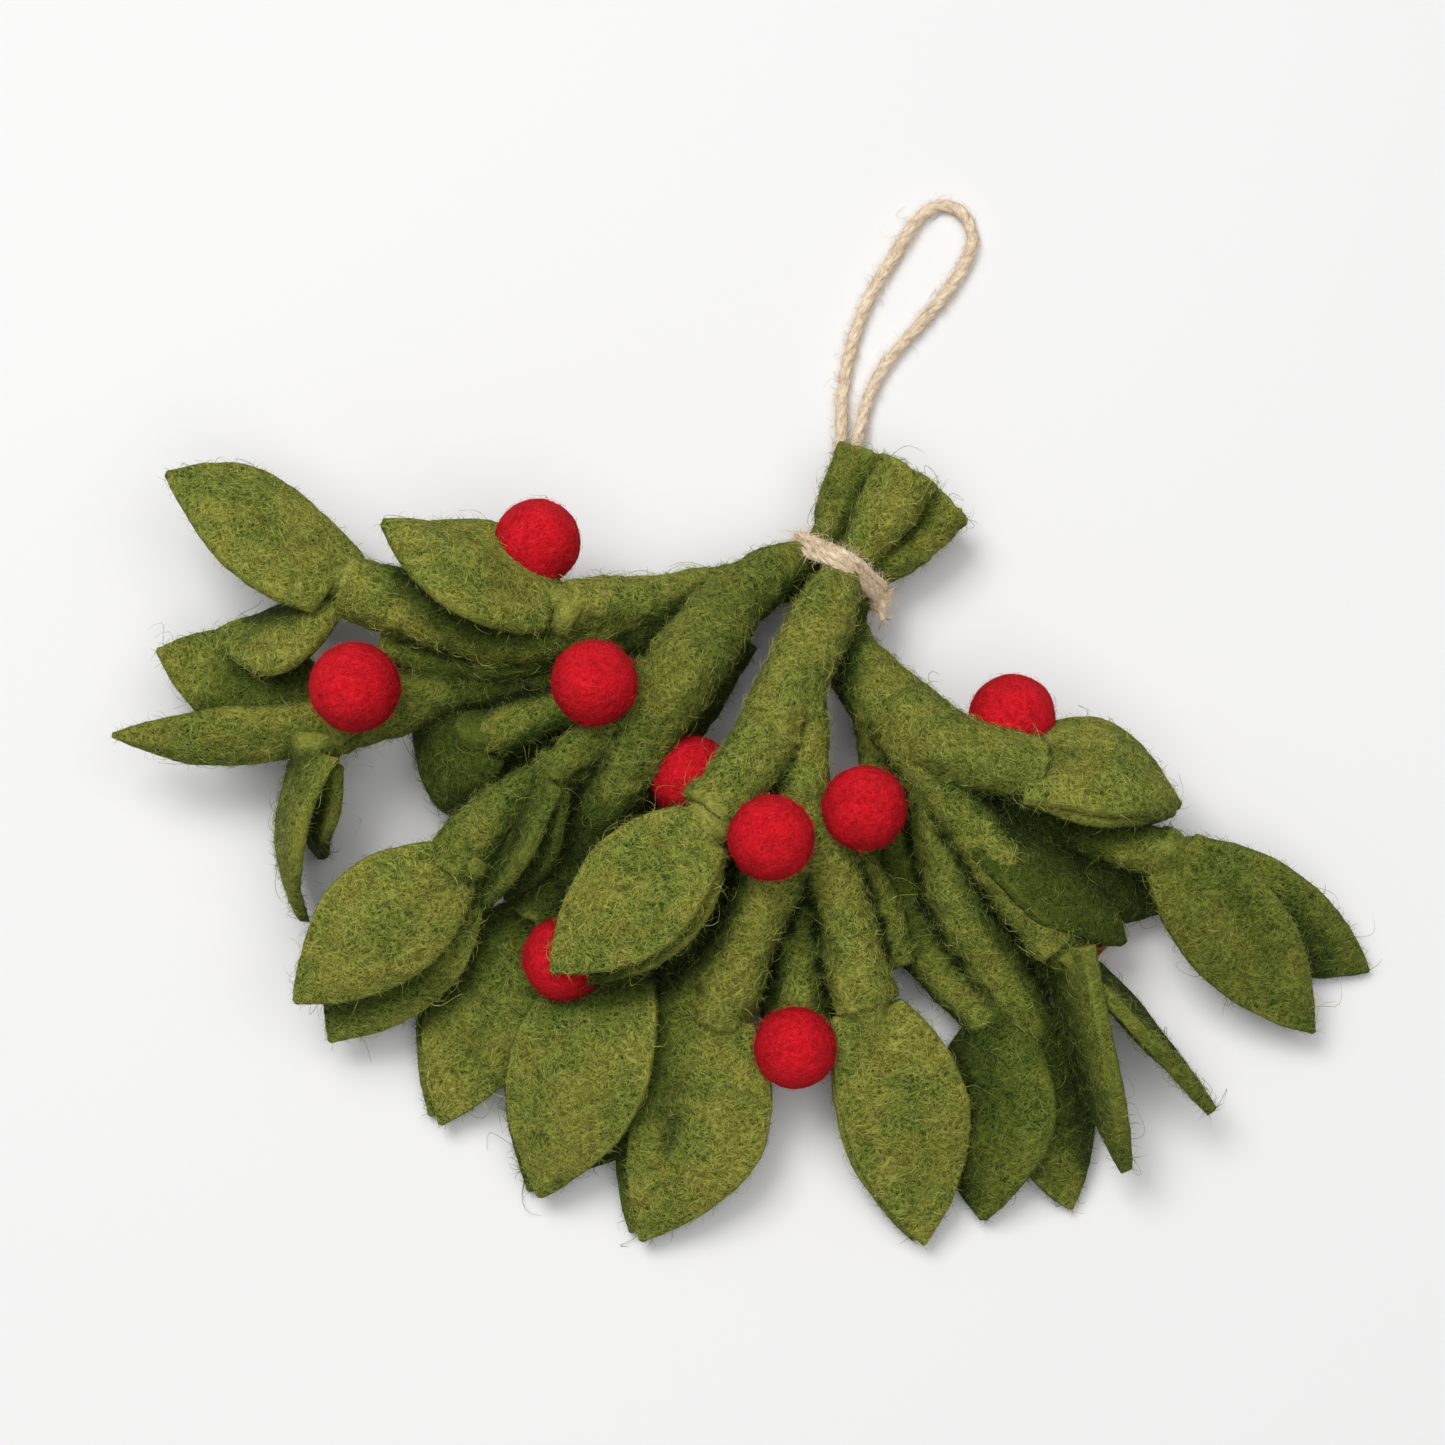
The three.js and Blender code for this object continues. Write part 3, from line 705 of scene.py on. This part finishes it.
# the branches melted into each stem, as points along them: x, y, z and radius
stemBranches = {
    "stem_upper_left": [
        [(36, 71.9, 7.6, 5.6), (28.9, 64, 7.2, 4.8), (22.5, 56.6, 7.1, 3.6), (13, 56, 6.8, 4.2),
         (1.9, 54.5, 9, 4.6), (-8.4, 51.2, 15, 5.4), (-18.8, 48.3, 21, 5.6), (-29, 46.7, 26, 5.6),
         (-36, 45.7, 30, 5.4)],
        [(-21.1, 46.2, 21, 5), (-34, 42.1, 25, 5.6), (-45.2, 39.6, 27, 6), (-55.7, 41.6, 27.5, 6.5),
         (-64.9, 45.3, 28, 7), (-73.2, 47.8, 28, 7), (-81.5, 50.7, 28, 6.6)],
        [(-74, 40.3, 21, 4), (-64.7, 36.6, 21.5, 4.5), (-55.6, 35.7, 22, 4.6), (-45.6, 36.3, 23, 4.6),
         (-37.7, 39.5, 25, 4.4)]],
    "stem_left": [
        [(26, 81.9, 15, 5.8), (21.9, 72, 13.8, 5.2), (16.6, 60.2, 12.7, 3.8), (7.5, 55.5, 17, 5.8),
         (-0.7, 48.5, 22, 6.8), (-7.5, 39.6, 27, 7.8), (-14, 29.7, 30, 7.8), (-20.6, 19.3, 27.5, 7.4),
         (-26.4, 8.8, 23, 7), (-32.3, -3.4, 19, 6.4), (-38.2, -12.6, 18, 6), (-42.3, -18.7, 17.5, 5.6)],
        [(-14.9, 31, 27, 5.4), (-27, 30.2, 21, 5.6), (-41, 31.4, 18.5, 5.2), (-52.1, 31.5, 18, 5),
         (-62.4, 30.2, 18.5, 6), (-70.5, 27.4, 20, 6.6), (-77.6, 23.9, 21, 5.8), (-84.7, 20.6, 22, 5.2)],
        [(-8.4, 47.3, 15, 6), (-17.8, 43.5, 17, 6.5), (-27.2, 40.4, 18, 6.5), (-35.5, 38.3, 18, 6)],
        [(-24, 23, 25, 4.4), (-34.1, 24.8, 23, 4.8), (-43.5, 23.3, 22, 4.8), (-51.3, 20, 21.5, 4.6),
         (-55.9, 17.7, 20, 4.2)],
        [(-23.1, 16.1, 27, 4.8), (-34, 12.8, 25, 5.2), (-44, 7.3, 25, 5.6), (-51.3, 1.6, 25.5, 6),
         (-56.5, -4.2, 26, 6.4), (-59.7, -9.1, 26, 6)],
        [(-25.1, 19.9, 29, 3.6), (-32.1, 17.1, 31, 3.8), (-38.8, 10.7, 30, 3.8)],
        [(-0.9, 41.1, 20, 4.8), (-9, 28, 16, 5.2), (-16.9, 18, 14, 5.2), (-22.9, 6.9, 15, 5.6),
         (-25.5, -5, 17, 6), (-26.5, -16.1, 18, 6), (-26.4, -26.1, 19, 6)],
        [(-17.8, 22.3, 15, 7.5), (-27.2, 10.2, 11, 8.5), (-36.6, -2.2, 9, 8), (-43.9, -11.6, 8.5, 6.5)],
        [(-60.6, 18.7, 8, 5.6), (-50.4, 16.4, 9, 6.6), (-39.8, 14.6, 10, 7), (-31.4, 12.3, 11, 7)]],
    "stem_centre": [
        [(35.6, 76.6, 19.4, 7), (29.7, 66.7, 18.6, 6.2), (22.5, 56.5, 18.3, 3.8), (18, 47, 22, 6.6),
         (13.9, 37, 26, 6.8), (9.1, 26.2, 30, 7), (4.5, 16.4, 33, 6.6), (-1.4, 7.8, 36, 6.4),
         (-7, 1.5, 37.5, 6.4)],
        [(11, 30, 28, 6.4), (11.9, 16, 29, 6.2), (12.1, 6.1, 29, 6), (9.7, -3.8, 26, 6),
         (5, -13.8, 24, 6.2), (-0.1, -23.9, 20, 6.8), (-3.4, -33.7, 17, 7), (-5, -39, 15.5, 6.2)],
        [(1.9, -20, 20, 5.2), (-5.9, -28.5, 18, 5.2), (-12.9, -35.6, 15, 5), (-17, -41, 12, 4.4)],
        [(12.9, 8.1, 28, 5.6), (17, -4.1, 25, 5.8), (21, -15.1, 22, 5.6), (23.4, -25.8, 20, 6.4),
         (26.1, -35.2, 18, 7)],
        [(9.9, -1.1, 24, 4.6), (0.9, -10.9, 18, 5.4), (-6.9, -21.9, 14, 6), (-12.5, -31.7, 12, 5.6)],
        [(13, 2, 24, 4.4), (12.9, -13.9, 17, 5), (12.3, -25.9, 15, 5), (12.1, -35.9, 13.5, 4.4)],
        [(10.3, -4.7, 13, 7), (12, -20, 9.5, 8.2), (12.4, -31.4, 9, 8), (12, -37.6, 8, 8)],
        [(1.6, -4.5, 11, 7), (-7.1, -17.9, 9, 7.6), (-13.4, -30.3, 8, 7)],
        [(6.6, -12.7, 9, 6), (4.9, -25.1, 8, 6.4), (4.9, -34.3, 8, 5.6)],
        [(18.3, -12.7, 9, 6), (19.1, -25.1, 8, 6.4), (19.1, -34.3, 8, 5.6)],
        [(14.1, 6.1, 23, 4.6), (23.1, -6, 17, 5.2), (29.1, -16.9, 14, 5.6), (31.6, -26.7, 12, 5.4)]],
    "stem_right": [
        [(44, 71.4, 11.6, 6), (36.5, 62.5, 11.8, 4.8), (25.7, 53.4, 12.2, 3.4), (22.3, 45.9, 11, 4.4),
         (23.5, 38.3, 13, 6), (27.6, 31.3, 17, 7.2), (34.9, 23.2, 24, 7.5), (44.1, 16.2, 30, 7.2),
         (55, 12.5, 33, 6.6), (61.7, 11.2, 33.5, 6)],
        [(33, 21.2, 25, 6), (42.1, 8.8, 26, 5.8), (50.6, -3.9, 25, 5.6), (58.2, -15, 23, 5.4),
         (64.6, -23.8, 21, 5)],
        [(40, 17.9, 27, 5), (53.9, 8.2, 21, 5.2), (65.9, 2.8, 19.5, 5.2), (78, -1.4, 20, 5.2),
         (87.4, -4.5, 20, 5)],
        [(27.9, 27, 20, 5.2), (30.1, 17.9, 16, 5.6), (32, 7, 13, 6), (33.9, -6, 11, 6.2),
         (36.4, -19, 9.5, 6), (43.6, -29.3, 8.5, 5.2), (52, -38, 8.5, 4.8)],
        [(37.1, 16, 25, 5.2), (40.9, 2.9, 20, 6), (46, -15.1, 16, 6.4), (54.2, -27.9, 11.5, 5.8),
         (61.7, -40.1, 9, 4.8)],
        [(42.1, 9, 26, 4.8), (50, 1.9, 23, 4.6)],
        [(51.9, 9, 20, 4.4), (58, 3.9, 15.5, 4.2)],
        [(34.6, 4.3, 8, 7), (42.8, -11.5, 8, 7.5), (50, -22.9, 7, 6)],
        [(57.9, -12.7, 9, 6.4), (62.9, -23, 8, 6.4), (66.2, -31.3, 7, 5)]],
}
stemForm = {"step": 1.6, "sides": 20}
# painted shade added to each whole stem
stemShades = {"stem_upper_left": 0, "stem_left": 0.2, "stem_centre": 0.03, "stem_right": 0.08}
stemWool = {
    "voxel": 0.95, "soften": 1, "swell": 0.05, "lumpSize": 6, "lumpHeight": 2.4, "grainSize": 2.2,
    "grainHeight": 0.9, "down": 0.85, "downLength": 2.1, "fuzz": 0.22, "fuzzLength": 3.2,
    "hair": 0.012, "hairLength": 7,
}


def stemShells(branches):
    lines = [smoothLine(branch, stemForm["step"]) for branch in branches]
    return [tube(line, line[:, 3], stemForm["sides"]) for line in lines]


# what a leaf is unless its own line says otherwise, in millimetres and degrees
usualLeaf = {"bow": (0, 0), "cup": 1.5, "twist": 0, "thickness": 2.8}


def blade(tip, roll, width, arch, base, **more):
    # base is the width at the foot as a share of the whole width
    return {**usualLeaf, "tip": tip, "roll": roll, "width": width, "arch": arch, "base": base, **more}


def pairAt(foot, tuft, *leaves, shade=0):
    # tuft is the radius of the wool round the foot, and shade is painted shade added to a pair that lies
    # deep
    return {"foot": foot, "tuft": tuft, "leaves": leaves, "shade": shade}


leafPairs = {
    "leaves_far_left_upper": pairAt((-82.5, 51.1, 28), 4.8,
        blade((-119.4, 74.6, 25), 30, 25, 3, 0.7, bow=(-4, 5)),
        blade((-110.8, 41.8, 15), 30, 18, 3, 0.35, bow=(-15, -8), cup=2.5)),
    "leaves_front_left": pairAt((-37.8, 45.1, 31), 5,
        blade((-73.2, 62, 37), 36, 22, 4, 0.6, bow=(-5.4, -6), cup=2),
        blade((-64.2, 63.6, 27), 30, 16, 3, 0.5, bow=(0, 2))),
    "leaves_far_left_middle": pairAt((-84.9, 21.6, 22), 4.6,
        blade((-129.7, 20.3, 21), -34, 12.6, 2, 0.65, bow=(-2, -2), cup=2.5),
        blade((-122, 39.4, 14), 0, 23, 3, 0.4, bow=(2, 2)), shade=0.12),
    "leaves_far_left_lower": pairAt((-87.7, 17.2, 21), 5.4,
        blade((-90.5, -17.3, 11), 66, 23, 5.5, 0.8, twist=14),
        blade((-87.9, -3.1, 3), 60, 22, 3, 0.8, twist=10), shade=0.15),
    "leaves_left_curled": pairAt((-55, 19.2, 21.5), 4.4,
        blade((-62.4, 7.7, 5), 26, 25, 5, 0.6, bow=(3, 3), cup=3),
        blade((-54, 9.1, 4), -30, 20, 3, 0.5), shade=0.5),
    "leaves_left_narrow": pairAt((-39.2, 10.1, 30), 3.8,
        blade((-53.2, -16.6, 21), 64, 18, 2, 0.6), blade((-48, -13.5, 17), 50, 20, 1, 0.6), shade=0.35),
    "leaves_left_broad": pairAt((-57.6, -7.6, 26.5), 5.2,
        blade((-90.9, -34.9, 22), -12, 25, 3, 0.45, bow=(1.5, 0.5), cup=2.5),
        blade((-85.1, -42, 9), -10, 26, 3, 0.5)),
    "leaves_left_lower": pairAt((-41, -16.2, 15), 5,
        blade((-62.2, -58.9, 4.6), 6, 26, 2, 0.5, bow=(2, 2)),
        blade((-64.6, -56.9, 1.4), 6, 26, 2, 0.5, bow=(2, 2))),
    "leaves_middle_top": pairAt((-7.8, -1.1, 37), 5.2,
        blade((-38.1, -29.6, 31), 12, 25, 4, 0.5, bow=(-1.5, -1.5), cup=2),
        blade((-33.1, -31.4, 24), 12, 24, 2, 0.5, bow=(-1, -1))),
    "leaves_middle_left": pairAt((-25.5, -27.7, 19), 5.2,
        blade((-41.5, -74, 5.4), 10, 29, 4.4, 0.55), blade((-43.8, -72.4, 1.1), 10, 28, 3, 0.5)),
    "leaves_middle_lower": pairAt((-5, -37, 17), 5.4,
        blade((-20.4, -82.8, 4), 0, 28, 3, 0.55, bow=(-5, -5)),
        blade((-22.7, -81.1, 1.1), 5, 28, 3, 0.5, bow=(-3, -3))),
    "leaves_middle_under": pairAt((-12.1, -32.9, 12), 3.8,
        blade((-31.1, -67.5, 1.5), 0, 24, 2, 0.45), shade=0.4),
    "leaves_middle_right": pairAt((26.1, -36.3, 18), 5.4,
        blade((38, -83.6, 4), 0, 25.6, 3, 0.55, bow=(-3.4, -3.4)),
        blade((36.1, -82.7, 1.1), -5, 26, 3, 0.5, bow=(-2.7, -2.7))),
    "leaves_right_lower": pairAt((53.4, -38.1, 9), 4.6,
        blade((50.3, -78.6, 3), 28, 28, 4, 0.45, cup=4), shade=0.35),
    "leaves_right_under": pairAt((62.5, -41.4, 9), 4.6,
        blade((68.6, -76.1, 1.1), -10, 20, 3, 0.45, bow=(2.7, 2.7)), shade=0.15),
    "leaves_right_upright": pairAt((65.7, -23.9, 21.5), 4.6,
        blade((79.2, -68.9, 13), 74, 22, 1.5, 0.9, bow=(1, 0), twist=8, thickness=3.5),
        blade((96.9, -56.8, 13), 104, 21, -1, 0.9, cup=0.6, thickness=3.3), shade=0.3),
    "leaves_right_inner": pairAt((50, 1.9, 23), 4.6,
        blade((79.3, -22.3, 14), -40, 26, 3, 0.6), shade=0.5),
    "leaves_right_hidden": pairAt((58.1, 4, 15), 4.2,
        blade((87.5, -14.9, 6), 0, 28, 3, 0.45), shade=0.2),
    "leaves_right_top": pairAt((57.1, 11.7, 33), 5,
        blade((90.4, 5.4, 22), -35, 24.5, 5, 0.66, bow=(-4, -4), cup=2),
        blade((89.6, 4.2, 18.5), -35, 24, 4, 0.6, bow=(-2, -2))),
    "leaves_far_right": pairAt((89, -4.9, 20), 4.8,
        blade((119.1, -40, 7), 5, 22, 3, 0.6),
        blade((132, -26.6, 1.1), 30, 23, 3, 0.4, bow=(0.5, 0.5)), shade=0.26),
}

# a wave is (size, how close along, how close across, shift across, step from leaf to leaf) and a
# knob of the tuft (how far along it, share of its radius)
leafForm = {
    "widest": 0.42, "bellyCurve": 0.8, "tipCurve": 0.85, "tipShare": 0.03, "footRise": 1.6,
    "pairSpacing": 3.2, "rows": 52, "columns": 21, "crowding": 0.45,
    "edgeWave": (0.6, 3, 1.5, 0, 7.3), "faceWave": (1.7, 2.2, 1.2, 40, 5.1),
    "edgeThinning": 0.12, "tipThinning": 0.25, "edgeBulge": 0.25, "edgeSteps": (0.3, 0.7),
    "knobs": ((-5, 0.92), (-3, 1.06), (-0.5, 0.96), (3, 0.84), (8, 0.5)), "tuftDrop": 0.8,
    "tuftStep": 1.0, "tuftSides": 24,
}
leafWool = dict(stemWool, voxel=0, lumpSize=7, lumpHeight=0.8, grainSize=1.8, grainHeight=0.45,
                fuzzLength=3.0, hair=0.014)


def outlineShare(share, base):
    # width of a leaf at a share of its length: narrow foot, round belly, pointed tip
    form = leafForm
    if share < form["widest"]:
        rise = math.sin(math.pi / 2 * share / form["widest"]) ** form["bellyCurve"]
        return base + (1 - base) * rise
    fall = math.cos(math.pi / 2 * (share - form["widest"]) / (1 - form["widest"]))
    return max(max(fall, 0) ** form["tipCurve"], form["tipShare"])


def ripple(wave, share, x, index):
    size, along, across, shift, step = wave
    return size * noise.noise((along * share, across * x + shift, step * index))


def bladeShell(leaf, foot, index):
    # one thick leaf from foot to tip, arched, swayed and cupped, its edge slightly wavy
    form = leafForm
    along = np.array(leaf["tip"], float) - foot
    length = np.linalg.norm(along)
    along /= length
    level = unit((0, 0, 1) - along * along[2])
    rings = []
    for i in range(form["rows"] + 1):
        share = i / form["rows"]
        roll = math.radians(leaf["roll"] + leaf["twist"] * share)
        face = level * math.cos(roll) + np.cross(along, level) * math.sin(roll)
        side = np.cross(along, face)
        outline = outlineShare(share, leaf["base"])
        bow = 4 * share * (1 - share)
        early, late = leaf["bow"]
        drift = 3 * share * (1 - share) * (early * (1 - share) + late * share)
        top, under = [], []
        even = np.linspace(-1, 1, form["columns"])
        for x in even + form["crowding"] * (np.sin(even * math.pi / 2) - even):
            half = leaf["width"] / 2 * outline + ripple(form["edgeWave"], share, x, index) * bow
            lift = leaf["arch"] * bow - leaf["cup"] * x * x * outline
            lift += ripple(form["faceWave"], share, x, index) * bow
            middle = foot + along * share * length + side * (x * half + drift)
            thick = leaf["thickness"] / 2
            thick *= (1 - form["edgeThinning"] * x ** 4) * (1 - form["tipThinning"] * share ** 12)
            top.append(middle + face * (lift + thick))
            under.append(middle + face * (lift - thick))
        bulge = side * form["edgeBulge"]
        right = [top[-1] * (1 - t) + under[-1] * t + bulge for t in form["edgeSteps"]]
        left = [under[0] * (1 - t) + top[0] * t - bulge for t in form["edgeSteps"]]
        rings.append(np.array(top + right + under[::-1] + left))
    return loft(rings)


def pairShells(pair, seed):
    # two leaves one over the other, and a tuft of wool round the foot they share
    form = leafForm
    foot = np.array(pair["foot"], float)
    shells = []
    for i, leaf in enumerate(pair["leaves"]):
        rise = form["footRise"] - i * form["pairSpacing"]
        shells.append(bladeShell(leaf, foot + (0, 0, rise), seed + 0.5 * i))
    ahead = unit(np.mean([leaf["tip"] for leaf in pair["leaves"]], axis=0) - foot)
    wool = [(*(foot + ahead * run - (0, 0, form["tuftDrop"])), pair["tuft"] * size)
            for run, size in form["knobs"]]
    line = smoothLine(wool, form["tuftStep"])
    shells.append(tube(line, line[:, 3], form["tuftSides"]))
    return shells


stemPieces = {name: stemShells(branches) for name, branches in stemBranches.items()}
leafPieces = {name: pairShells(pair, seeds["leaves"] + i)
              for i, (name, pair) in enumerate(leafPairs.items())}
for shells in (*stemPieces.values(), *leafPieces.values()):
    noteHeights(shells)
spreadHeights()
for i, (name, shells) in enumerate(stemPieces.items()):
    made = feltPiece(name, shells, stemWool, stemFelt, greenHair, seeds["stems"] + i, stemShades[name])
for i, (name, shells) in enumerate(leafPieces.items()):
    made = feltPiece(name, shells, leafWool, leafFelt, greenHair, seeds["leaves"] + i,
                     leafPairs[name]["shade"])


# the middle of each ball, x, y, z, and its diameter
berryPlaces = [
    (-41.9, 59.3, 29, 17.9), (-78.4, 28.1, 34.5, 18.4), (-29.6, 28, 40, 17.4), (-10, 11, 23.5, 17.4),
    (6, -3.5, 40, 17.3), (25, 3.5, 33, 17.2), (55.8, 23.3, 26, 17.8), (11.1, -44.2, 20, 16.8),
    (-35.9, -25.9, 21, 17.4), (68.7, -17.9, 9.2, 17.4),
]
berryDetail = 5
berryWool = {
    "voxel": 0, "lumpSize": 5, "lumpHeight": 0.7, "grainSize": 1.4, "grainHeight": 0.3,
    "down": 0.9, "downLength": 1.4, "fuzz": 0.3, "fuzzLength": 1.9, "hair": 0.01, "hairLength": 4,
}


for i, (*centre, diameter) in enumerate(berryPlaces):
    ball = bmesh.new()
    bmesh.ops.create_icosphere(ball, subdivisions=berryDetail, radius=diameter / 2)
    points = np.array([v.co for v in ball.verts]) + np.array(centre)
    faces = [tuple(v.index for v in f.verts) for f in ball.faces]
    ball.free()
    made = feltPiece(f"berry_{i + 1}", [(points, faces, [])], berryWool, berryFelt, redHair,
                     seeds["berries"] + i, 0)


binding = {
    "centre": (21.6, 57.0), "across": (0.84, -0.54), "along": (-0.54, -0.84), "stemRadius": 3.8,
    "stems": ((-6.6, 12.7), (-0.4, 18.3), (4.4, 12.4), (-0.6, 7.1)), "turns": 3, "shift": 0.9,
    "pitch": 1.5, "off": 1.1, "knotAngle": -0.1, "knotAlong": 0.5, "knotLift": 0.7, "lowest": 1.7,
    "wrapSteps": 16, "knotSteps": 24, "knotTurn": 0.4, "knotSize": (0.5, 0.575, 0.7), "tailStep": 0.5,
    "tails": (((0.4, -2, 0.3), (0.8, -4.2, -0.6)), ((1.2, 1, -0.4), (2.4, 2.2, -1.6))),
    "tailRadii": (0.95, 0.6), "tailSides": 8,
}
bindingTwine = dict(loopTwine, diameter=2.1, pitch=8, step=0.7, core=0.85, fuzz=3.0)


def tiePoint(angle, along, off):
    # a point off the skin of the four stems, at an angle round them
    way = np.array([math.cos(angle), math.sin(angle)])
    stem = max(binding["stems"], key=lambda s: s[0] * way[0] + s[1] * way[1])
    reach = np.array(stem) + (binding["stemRadius"] + off) * way
    flat = binding["centre"] + unit(binding["across"]) * reach[0] + unit(binding["along"]) * along
    return np.array([flat[0], flat[1], max(reach[1], binding["lowest"])])


def bindingLines():
    # the turns round the stems, the knot on them as one crossing line, and its two tails
    tie = binding
    wraps = []
    for i in range(tie["wrapSteps"] * tie["turns"] + 1):
        turn = i / tie["wrapSteps"]
        along = tie["shift"] + tie["pitch"] * (turn - tie["turns"] / 2)
        wraps.append(tiePoint(tie["knotAngle"] + 2 * math.pi * turn, along, tie["off"]))
    knot = tiePoint(tie["knotAngle"], tie["shift"] + tie["knotAlong"], tie["off"] + tie["knotLift"])
    crossing = []
    for i in range(tie["knotSteps"] + 1):
        t = 2 * math.pi * i / tie["knotSteps"] + tie["knotTurn"]
        crossing.append(knot + np.array(tie["knotSize"]) * (
            math.sin(t) + 2 * math.sin(2 * t), math.cos(t) - 2 * math.cos(2 * t), -math.sin(3 * t)))
    tails = [smoothLine([knot, *(knot + place for place in tail)], tie["tailStep"])
             for tail in tie["tails"]]
    return [smoothLine(line, bindingTwine["step"]) for line in (wraps, crossing)], tails


frays = {
    "strands": 14, "reach": (1.4, 3.0), "spread": (0.4, 0.7, 1.5), "drop": 0.3, "step": 0.6,
    "radii": (0.26, 0.05), "sides": 5, "cornerScale": (0.6, 0.2),
}


def frayedEnd(line):
    # the plies of a cut end come apart into thin tapering strands
    start, way = line[-3], unit(line[-1] - line[-3])
    shells = []
    for _ in range(frays["strands"]):
        spread = np.array([random.uniform(-1, 1) for _ in range(3)])
        reach = random.uniform(*frays["reach"])
        near, middle, far = (spread * share for share in frays["spread"])
        strand = [start + near, start + way * reach * 0.5 + middle,
                  start + way * reach + far - (0, 0, frays["drop"])]
        strand = smoothLine(strand, frays["step"])
        shells.append(tube(strand, np.linspace(*frays["radii"], len(strand)), frays["sides"]))
    return shells


wrapLines, tailLines = bindingLines()
bindingPiece = makeTwine("binding_twine_laid", wrapLines, bindingTwine)
ends = []
for line in tailLines:
    ends.append(tube(line, np.linspace(*binding["tailRadii"], len(line)), binding["tailSides"]))
    ends += frayedEnd(line)
frayedPiece = buildObject("binding_frayed_ends", ends, frays["cornerScale"])
frayedPiece.data.materials.append(twineMaterial)
bindingFuzz = makeTwineFuzz("binding_fuzz", wrapLines + tailLines, bindingTwine, seeds["binding"])
for made in (bindingPiece, frayedPiece, bindingFuzz):
    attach(made, "root")
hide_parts("binding_twine")
print("binding tied")

for collection in (downShapes, fuzzShapes, longShapes):
    for shape in list(collection.objects):
        bpy.data.objects.remove(shape)
    bpy.data.collections.remove(collection)


studio = {
    "floorHalf": 2.0, "floorDrop": 0.0003, "floorColour": (0.79, 0.79, 0.8, 1), "sky": 0.15,
    "skyColour": (0.95, 0.975, 1, 1), "lampColour": (1, 0.99, 0.97), "lamps": (
        {"name": "windowLight", "power": 18, "size": 0.8, "place": (-0.55, 0.65, 1.5)},
        {"name": "overheadLight", "power": 17.5, "size": 1.8, "place": (0.15, -0.1, 1.5)}),
}

floorMesh = bpy.data.meshes.new("studioFloor")
half = studio["floorHalf"]
floorMesh.from_pydata([(x, y, -studio["floorDrop"]) for x, y in
                       ((-half, -half), (half, -half), (half, half), (-half, half))], [], [(0, 1, 2, 3)])
floor = addObject("studioFloor", floorMesh)
floorMaterial, floorTree, floorShader = newMaterial("paleFloor")
fill(floorTree, floorShader, Base_Color=studio["floorColour"], Roughness=0.9, Specular_IOR_Level=0.1)
floorMesh.materials.append(floorMaterial)

world = bpy.data.worlds.new("studio")
world.use_nodes = True
sky = world.node_tree.nodes["Background"]
fill(world.node_tree, sky, Color=studio["skyColour"], Strength=studio["sky"])
bpy.context.scene.world = world

for lamp in studio["lamps"]:
    lampData = bpy.data.lights.new(lamp["name"], "AREA")
    lampData.energy = lamp["power"]
    lampData.size = lamp["size"]
    lampData.color = studio["lampColour"]
    lit = addObject(lamp["name"], lampData)
    lit.location = lamp["place"]
    lit.rotation_euler = (-Vector(lamp["place"])).to_track_quat("-Z", "Y").to_euler()
bpy.context.scene.view_settings.view_transform = "Standard"
print("floor and light ready")

triangles = sum(len(p.vertices) - 2 for made in bpy.data.objects if made.type == "MESH"
                and not made.name.startswith("studio") and made.data.users for p in made.data.polygons)
print(f"{triangles} triangles in all")
